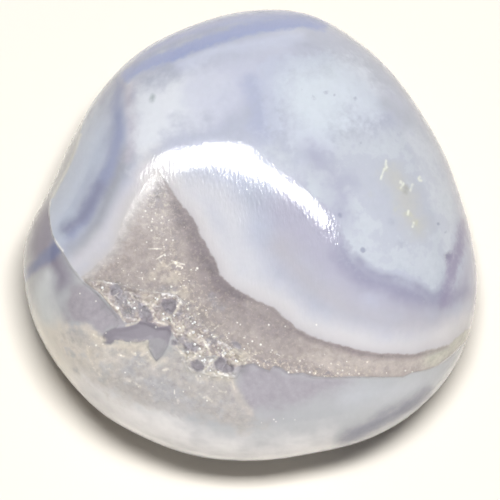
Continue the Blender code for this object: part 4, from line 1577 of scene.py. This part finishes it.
@dataclass
class CrystalCrust:
    """Crust of quartz that lines the broken strip, with the crystals that stand on it.

    Lengths are in millimetres, and a grain size is a width and a slope. The crystal's foot,
    shoulder and tip are in units of its radius, and densities are shares of the tree's density.
    """

    pebble: Pebble
    bed_finish: AgateFinish
    crystal_finish: QuartzFinish
    step: float = 0.06
    margin: float = 0.4
    thickness: float = 0.4
    lift: float = 0.004
    rim_dip: float = 0.35
    grain_sizes: tuple[Point, ...] = ((0.55, 0.34), (0.24, 0.26))
    unevenness: float = 0.08
    strip_density: float = 0.03
    clump_density: float = 0.1
    rim_density: float = 0.06
    sparkle_density: float = 0.08
    rim_reach: float = 0.14
    bare_reach: float = 0.12
    size_outside: float = 0.45
    corners: int = 6
    foot: Point = (0.9, -0.5)
    shoulder: Point = (1.0, 0.45)
    tip: Triple = (0.14, 0.06, 1.15)
    ground_step: float = 0.16
    ground_outline: Outline = (
        (-11.9, -2.2), (-8.6, 0.4), (-6.1, 3.6), (-4.2, 1.2), (-2, -2.6), (3, -6.2), (8, -8), (13.5, -7),
        (13, -8.6), (6, -9.6), (2, -12.4), (-4, -11.6), (-9, -10.4), (-12.6, -7.6), (-12.9, -5.6),
    )
    seed: int = 4
    tall_seed: int = 9
    name: str = "druzy_quartz_crust_visual"

    def grid(self, outline: Outline, margin: float, step: float) -> tuple[Array, list]:
        """Lay a square grid over an outline.

        Args:
            outline: Outline in the picture plane.
            margin: How far past the outline the grid reaches.
            step: Size of a square.

        Returns:
            The grid's places (u, v) and its faces, as runs of place numbers.
        """
        corners = np.array(outline)
        low, high = corners.min(axis=0) - margin, corners.max(axis=0) + margin
        across = np.arange(low[0], high[0], step)
        grid_u, grid_v = np.meshgrid(across, np.arange(low[1], high[1], step))
        spots = np.column_stack((grid_u.ravel(), grid_v.ravel()))
        kept = distance_to_line(spots, outline, True) > -margin
        wide = len(across)
        faces = []
        for first in range(len(spots) - wide - 1):
            run = (first, first + 1, first + wide + 1, first + wide)
            if (first + 1) % wide and kept[list(run)].all():
                faces.append(run)
        used = np.unique(np.array(faces))
        number = {int(old): new for new, old in enumerate(used)}
        return spots[used], [tuple(number[index] for index in run) for run in faces]

    def bed(self) -> bmesh.types.BMesh:
        """Closed bed of the crust, its rim dipping under the stone's surface."""
        hollow = self.pebble.hollow
        spots, faces = self.grid(hollow.strip, self.margin, self.step)
        worn = self.pebble.form.front_points(spots)
        top = self.pebble.skin(worn, Relief.CRUST)
        inside = hollow.inside(spots)
        rough = share_inside(spots, ROUGH, 0.4) * (1 - hollow.gap_share(spots))
        lumps = sum(self.pebble.grains(worn, size, tilt) for size, tilt in self.grain_sizes)
        top[:, 2] += rough * (lumps + self.unevenness * noise_field(worn, 0.7))
        top[:, 2] += self.lift - self.rim_dip * smooth_step(-(inside + 0.03) / self.margin)
        bottom = top.copy()
        bottom[:, 2] -= self.thickness
        count = len(spots)
        runs = list(faces) + [tuple(index + count for index in reversed(run)) for run in faces]
        sides = {(one, two) for run in faces for one, two in zip(run, run[1:] + run[:1])}
        runs += [(two, one, one + count, two + count) for one, two in sides if (two, one) not in sides]
        mesh = bpy.data.meshes.new("bed")
        mesh.from_pydata(self.pebble.rest.to_world(np.vstack((top, bottom))).tolist(), [], runs)
        shape = bmesh.new()
        shape.from_mesh(mesh)
        bpy.data.meshes.remove(mesh)
        store(shape, *self.pebble.columns(np.vstack((worn, worn))))
        bmesh.ops.triangulate(shape, faces=shape.faces)
        for face in shape.faces:
            face.smooth = True
        return shape

    def ground(self) -> bpy.types.Object:
        """Open sheet over the quartz that says how thickly crystals stand, and how large."""
        hollow = self.pebble.hollow
        spots, faces = self.grid(self.ground_outline, 0.1, self.ground_step)
        worn = self.pebble.form.front_points(spots)
        inside = hollow.inside(spots)
        stone = self.pebble.skin(worn, Relief.STONE)
        crust = self.pebble.skin(worn, Relief.CRUST)
        top = np.where((inside > -0.05)[:, None], crust, stone)
        below = self.pebble.ledge.distance(worn)
        rough = distance_to_line(spots, ROUGH, True)
        strip = smooth_step(rough / 0.4)
        gap = distance_to_line(spots, hollow.gap, True)
        open_edge = np.maximum(gap, self.pebble.pattern.zone("pits").distance(worn))
        closed = smooth_step(-open_edge / self.bare_reach)
        rims = np.exp(-((open_edge + self.rim_reach) / self.rim_reach) ** 2)
        rims = rims * smooth_step((rough + 0.8) / 0.4)
        clumps = np.clip(0.45 + 1.6 * noise_field(worn, 0.8, 5.0), 0.0, 1.0)
        sparkle = self.pebble.pattern.sparkle(worn, inside, below)
        density = strip * (self.strip_density + self.clump_density * clumps)
        density = density + self.rim_density * rims + self.sparkle_density * sparkle**2 * clumps
        density = np.clip(closed * density, 0.0, 1.0)
        size = self.size_outside + (1 - self.size_outside) * strip
        mesh = bpy.data.meshes.new("crystal_ground")
        mesh.from_pydata(self.pebble.rest.to_world(top).tolist(), [], faces)
        for label, values in (("crystal_density", density), ("crystal_size", size)):
            mesh.attributes.new(label, "FLOAT", "POINT").data.foreach_set(
                "value", values.astype(np.float32))
        return placed("crystal_ground", mesh)

    def crystal(self) -> bpy.types.Object:
        """Six-sided quartz crystal with a blunt point, one unit in radius, its foot sunk."""
        count = self.corners
        rings = [
            (radius * math.cos(turn), radius * math.sin(turn), height)
            for radius, height in (self.foot, self.shoulder)
            for turn in (math.tau * corner / count for corner in range(count))
        ]
        faces = [tuple(range(count - 1, -1, -1))]
        for one in range(count):
            two = (one + 1) % count
            faces.append((one, two, two + count, one + count))
        faces += [(one + count, (one + 1) % count + count, 2 * count) for one in range(count)]
        mesh = bpy.data.meshes.new("crystal")
        mesh.from_pydata([*rings, self.tip], [], faces)
        return placed("crystal", mesh)

    def growth_tree(self) -> bpy.types.NodeTree:
        """Geometry tree that stands copies of a crystal on a sheet."""
        tree = bpy.data.node_groups.new("quartz_growth", "GeometryNodeTree")
        face = tree.interface
        for label, kind, value in (
            ("Geometry", "Geometry", None), ("Crystal", "Object", None), ("Spacing", "Float", 0.00014),
            ("Density", "Float", 5.0e7), ("Smallest", "Float", 0.00005),
            ("Largest", "Float", 0.00011), ("Shortest", "Float", 0.8), ("Tallest", "Float", 1.7),
            ("Lean", "Float", 0.8), ("Seed", "Int", self.seed), ("Tall Seed", "Int", self.tall_seed),
            ("Material", "Material", None),
        ):
            socket = face.new_socket(label, in_out="INPUT", socket_type="NodeSocket" + kind)
            if value is not None:
                socket.default_value = value
        face.new_socket("Geometry", in_out="OUTPUT", socket_type="NodeSocketGeometry")
        links = Links(tree)
        start = tree.nodes.new("NodeGroupInput").outputs
        end = tree.nodes.new("NodeGroupOutput")
        thick = links.add("GeometryNodeInputNamedAttribute", {"Name": "crystal_density"})
        large = links.add("GeometryNodeInputNamedAttribute", {"Name": "crystal_size"})
        spread = links.add(
            "GeometryNodeDistributePointsOnFaces",
            {"Mesh": start["Geometry"], "Distance Min": start["Spacing"],
             "Density Max": start["Density"], "Density Factor": thick.outputs[0],
             "Seed": start["Seed"]},
            distribute_method="POISSON",
        )
        tilt = links.add(
            "FunctionNodeRandomValue",
            {0: links.math("MULTIPLY", start["Lean"], -1.0), 1: start["Lean"], "Seed": start["Seed"]},
            data_type="FLOAT_VECTOR",
        )
        turned = links.add(
            "FunctionNodeRotateRotation",
            {"Rotation": spread.outputs["Rotation"], "Rotate By": tilt.outputs[0]},
            rotation_space="LOCAL",
        )
        size, tall = (
            links.add("FunctionNodeRandomValue", {2: start[low], 3: start[high], "Seed": start[seed]},
                      data_type="FLOAT").outputs[1]
            for low, high, seed in (("Smallest", "Largest", "Seed"), ("Shortest", "Tallest", "Tall Seed"))
        )
        scaled = links.math("MULTIPLY", size, large.outputs[0])
        height = links.math("MULTIPLY", scaled, tall)
        shape = links.add("ShaderNodeCombineXYZ", {0: scaled, 1: scaled, 2: height})
        source = links.add("GeometryNodeObjectInfo", {"Object": start["Crystal"]})
        stood = links.add(
            "GeometryNodeInstanceOnPoints",
            {"Points": spread.outputs["Points"], "Instance": source.outputs["Geometry"],
             "Rotation": turned.outputs[0], "Scale": shape.outputs[0]},
        )
        real = links.add("GeometryNodeRealizeInstances", {"Geometry": stood.outputs[0]})
        dressed = links.add("GeometryNodeSetMaterial",
                            {"Geometry": real.outputs[0], "Material": start["Material"]})
        tree.links.new(dressed.outputs[0], end.inputs["Geometry"])
        return tree

    def crystals(self) -> bpy.types.Mesh:
        """Grow the crystals and return them as one plain mesh."""
        ground, crystal = self.ground(), self.crystal()
        tree = self.growth_tree()
        grown = ground.modifiers.new("quartz_growth", "NODES")
        grown.node_group = tree
        wanted = {"Crystal": crystal, "Material": self.crystal_finish.material(),
                  "Seed": self.seed, "Tall Seed": self.tall_seed}
        for socket in tree.interface.items_tree:
            if socket.in_out == "INPUT" and socket.name in wanted:
                grown[socket.identifier] = wanted[socket.name]
        bpy.context.view_layer.update()
        graph = bpy.context.evaluated_depsgraph_get()
        mesh = bpy.data.meshes.new_from_object(ground.evaluated_get(graph))
        ground.modifiers.clear()
        for helper in (ground, crystal):
            bpy.data.objects.remove(helper, do_unlink=True)
        return mesh

    def build(self) -> bpy.types.Object:
        """Build the crust and return it."""
        shape = self.bed()
        crystals = self.crystals()
        bed_faces = len(shape.faces)
        shape.from_mesh(crystals)
        shape.faces.ensure_lookup_table()
        for face in shape.faces[bed_faces:]:
            face.material_index = 1
            face.smooth = False
        bmesh.ops.triangulate(shape, faces=shape.faces)
        return finished(shape, self.name, self.bed_finish.material(), crystals.materials[0])


@dataclass(frozen=True)
class Lamp:
    """Area lamp that faces the stone.

    Azimuth is the direction round the stone, 0 behind it and 90 to its right, and elevation the
    height over the floor. Roll turns the lamp about its own line of sight, and aside shifts it in
    its own plane before that turn. Angles are in degrees, lengths in metres and power in watts.
    """

    name: str
    azimuth: float
    elevation: float
    distance: float
    size: Point
    roll: float
    power: float
    aside: Point = (0.0, 0.0)
    shape: str = "RECTANGLE"
    aim_height: float = 0.008

    def build(self) -> bpy.types.Object:
        """Put the lamp into the scene and return it."""
        data = bpy.data.lights.new(self.name, "AREA")
        data.shape = self.shape
        data.size, data.size_y = self.size
        data.energy = self.power
        side, rise = math.radians(self.azimuth), math.radians(self.elevation)
        level = math.cos(rise)
        away = Vector((math.sin(side) * level, math.cos(side) * level, math.sin(rise)))
        right = Vector((0, 0, 1)).cross(away).normalized()
        up = away.cross(right)
        place = away * self.distance + right * self.aside[0] + up * self.aside[1]
        turn = math.radians(self.roll)
        turned = right * math.cos(turn) + up * math.sin(turn)
        frame = Matrix((turned, away.cross(turned), away)).transposed().to_4x4()
        frame.translation = place + Vector((0, 0, self.aim_height))
        lamp = placed(self.name, data)
        lamp.matrix_world = frame
        lamp.visible_transmission = False
        return lamp


@dataclass(frozen=True)
class Pane:
    """Pane of the window that the polish mirrors, in metres, degrees and watts.

    Its place is given along the two sides of the window, from the window's middle.
    """

    name: str
    shape: str
    place: Point
    size: Point
    tilt: float
    power: float


@dataclass(frozen=True)
class Studio:
    """Plain pale floor, soft light and the camera of the main view."""

    rest: Rest
    lens: float = 500.0
    sensor: float = 36.0
    width: float = 33.333
    aim: Point = (0.0, -0.667)
    floor_half: float = 0.9
    floor_colour: Colour = (0.775, 0.735, 0.665)
    floor_roughness: float = 0.9
    floor_gloss: float = 0.1
    soft_lamps: tuple[Lamp, ...] = (
        Lamp("soft_lamp", 131.0, 84.8, 0.5, (0.22, 0.09), -49.0, 3.45),
        Lamp("low_card", 180.0, 4.0, 0.4, (0.5, 0.04), 0.0, 0.5),
    )
    panes: tuple[Pane, ...] = (
        Pane("window_end", "ELLIPSE", (0.007, -0.138), (0.026, 0.064), -4.0, 0.1),
        Pane("window_left", "ELLIPSE", (0.004, -0.023), (0.114, 0.183), 5.0, 1.74),
        Pane("window_right", "RECTANGLE", (0.045, 0.113), (0.071, 0.15), -12.0, 1.2),
    )
    window_azimuth: float = -25.1
    window_elevation: float = 63.0
    window_distance: float = 0.5
    window_roll: float = 34.0
    room_colour: Colour = (1.0, 0.94, 1.0)
    room_strength: float = 0.045

    def floor(self) -> bpy.types.Object:
        """Wide plain floor at the height of the stone's underside."""
        half = self.floor_half
        mesh = bpy.data.meshes.new("floor")
        corners = [(-half, -half, 0), (half, -half, 0), (half, half, 0), (-half, half, 0)]
        mesh.from_pydata(corners, [], [(0, 1, 2, 3)])
        material, _, _ = material_with("pale_floor", {
            "Base Color": (*self.floor_colour, 1.0), "Roughness": self.floor_roughness,
            "Specular IOR Level": self.floor_gloss,
        })
        mesh.materials.append(material)
        return placed("floor", mesh)

    def lights(self) -> None:
        """Soft lamp overhead and low card in front, which the polish doesn't mirror, and the window."""
        for lamp in self.soft_lamps:
            lamp.build().visible_glossy = False
        turn = math.radians(self.window_roll)
        for pane in self.panes:
            along, across = pane.place
            aside = (along * math.cos(turn) - across * math.sin(turn),
                     along * math.sin(turn) + across * math.cos(turn))
            lamp = Lamp(pane.name, self.window_azimuth, self.window_elevation, self.window_distance,
                        pane.size, self.window_roll + pane.tilt, pane.power, aside, pane.shape)
            lamp.build().visible_diffuse = False

    def room(self) -> None:
        """Faint even light from all sides."""
        world = bpy.data.worlds.new("room")
        world.use_nodes = True
        background = world.node_tree.nodes["Background"]
        background.inputs["Color"].default_value = (*self.room_colour, 1.0)
        background.inputs["Strength"].default_value = self.room_strength
        bpy.context.scene.world = world

    def camera(self) -> None:
        """Long-lens camera along the main line of sight."""
        axes = self.rest.axes()
        u, v, w = (axes.col[index] for index in range(3))
        middle = -Vector(self.rest.shift) * MM
        distance = self.lens * self.width * MM / self.sensor
        data = bpy.data.cameras.new("camera")
        data.lens, data.sensor_width = self.lens, self.sensor
        data.clip_start, data.clip_end = 0.01, 10.0
        data.dof.use_dof = False
        camera = placed("camera", data)
        frame = axes.to_4x4()
        frame.translation = middle + (u * self.aim[0] + v * self.aim[1]) * MM + w * distance
        camera.matrix_world = frame
        bpy.context.scene.camera = camera

    def build(self) -> bpy.types.Object:
        """Set up the stage and return the floor."""
        bpy.context.scene.view_settings.view_transform = "Standard"
        self.lights()
        self.room()
        self.camera()
        return self.floor()


def main() -> None:
    """Build the stone, its crust and the stage, and report each piece."""
    logging.basicConfig(level=logging.INFO, format="%(name)s: %(message)s")
    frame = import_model()
    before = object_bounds()
    LOG.info("frame loaded: %s", sorted(frame) if isinstance(frame, dict) else frame)
    pebble = Pebble()
    stone = AgateStone(pebble, AgateFinish(pebble.pattern)).build()
    bed = AgateFinish(pebble.pattern, "quartz_bed", gloss=0.2)
    crust = CrystalCrust(pebble, bed, QuartzFinish()).build()
    floor = Studio(pebble.rest).build()
    for piece, node, slot in ((stone, "agate_stone", "agate"),
                              (crust, "druzy_quartz_crust", "quartz_crust")):
        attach(piece, "root")
        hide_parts(node)
        LOG.info("%s stands for %s", piece.name, node)
    floor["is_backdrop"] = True
    {"before": plain(before), "after": plain(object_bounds())}


def plain(value: object) -> object:
    """Turn vectors and tuples into plain lists of numbers."""
    try:
        return [plain(item) for item in value]
    except TypeError:
        return float(value)


if __name__ == "__main__":
    main()
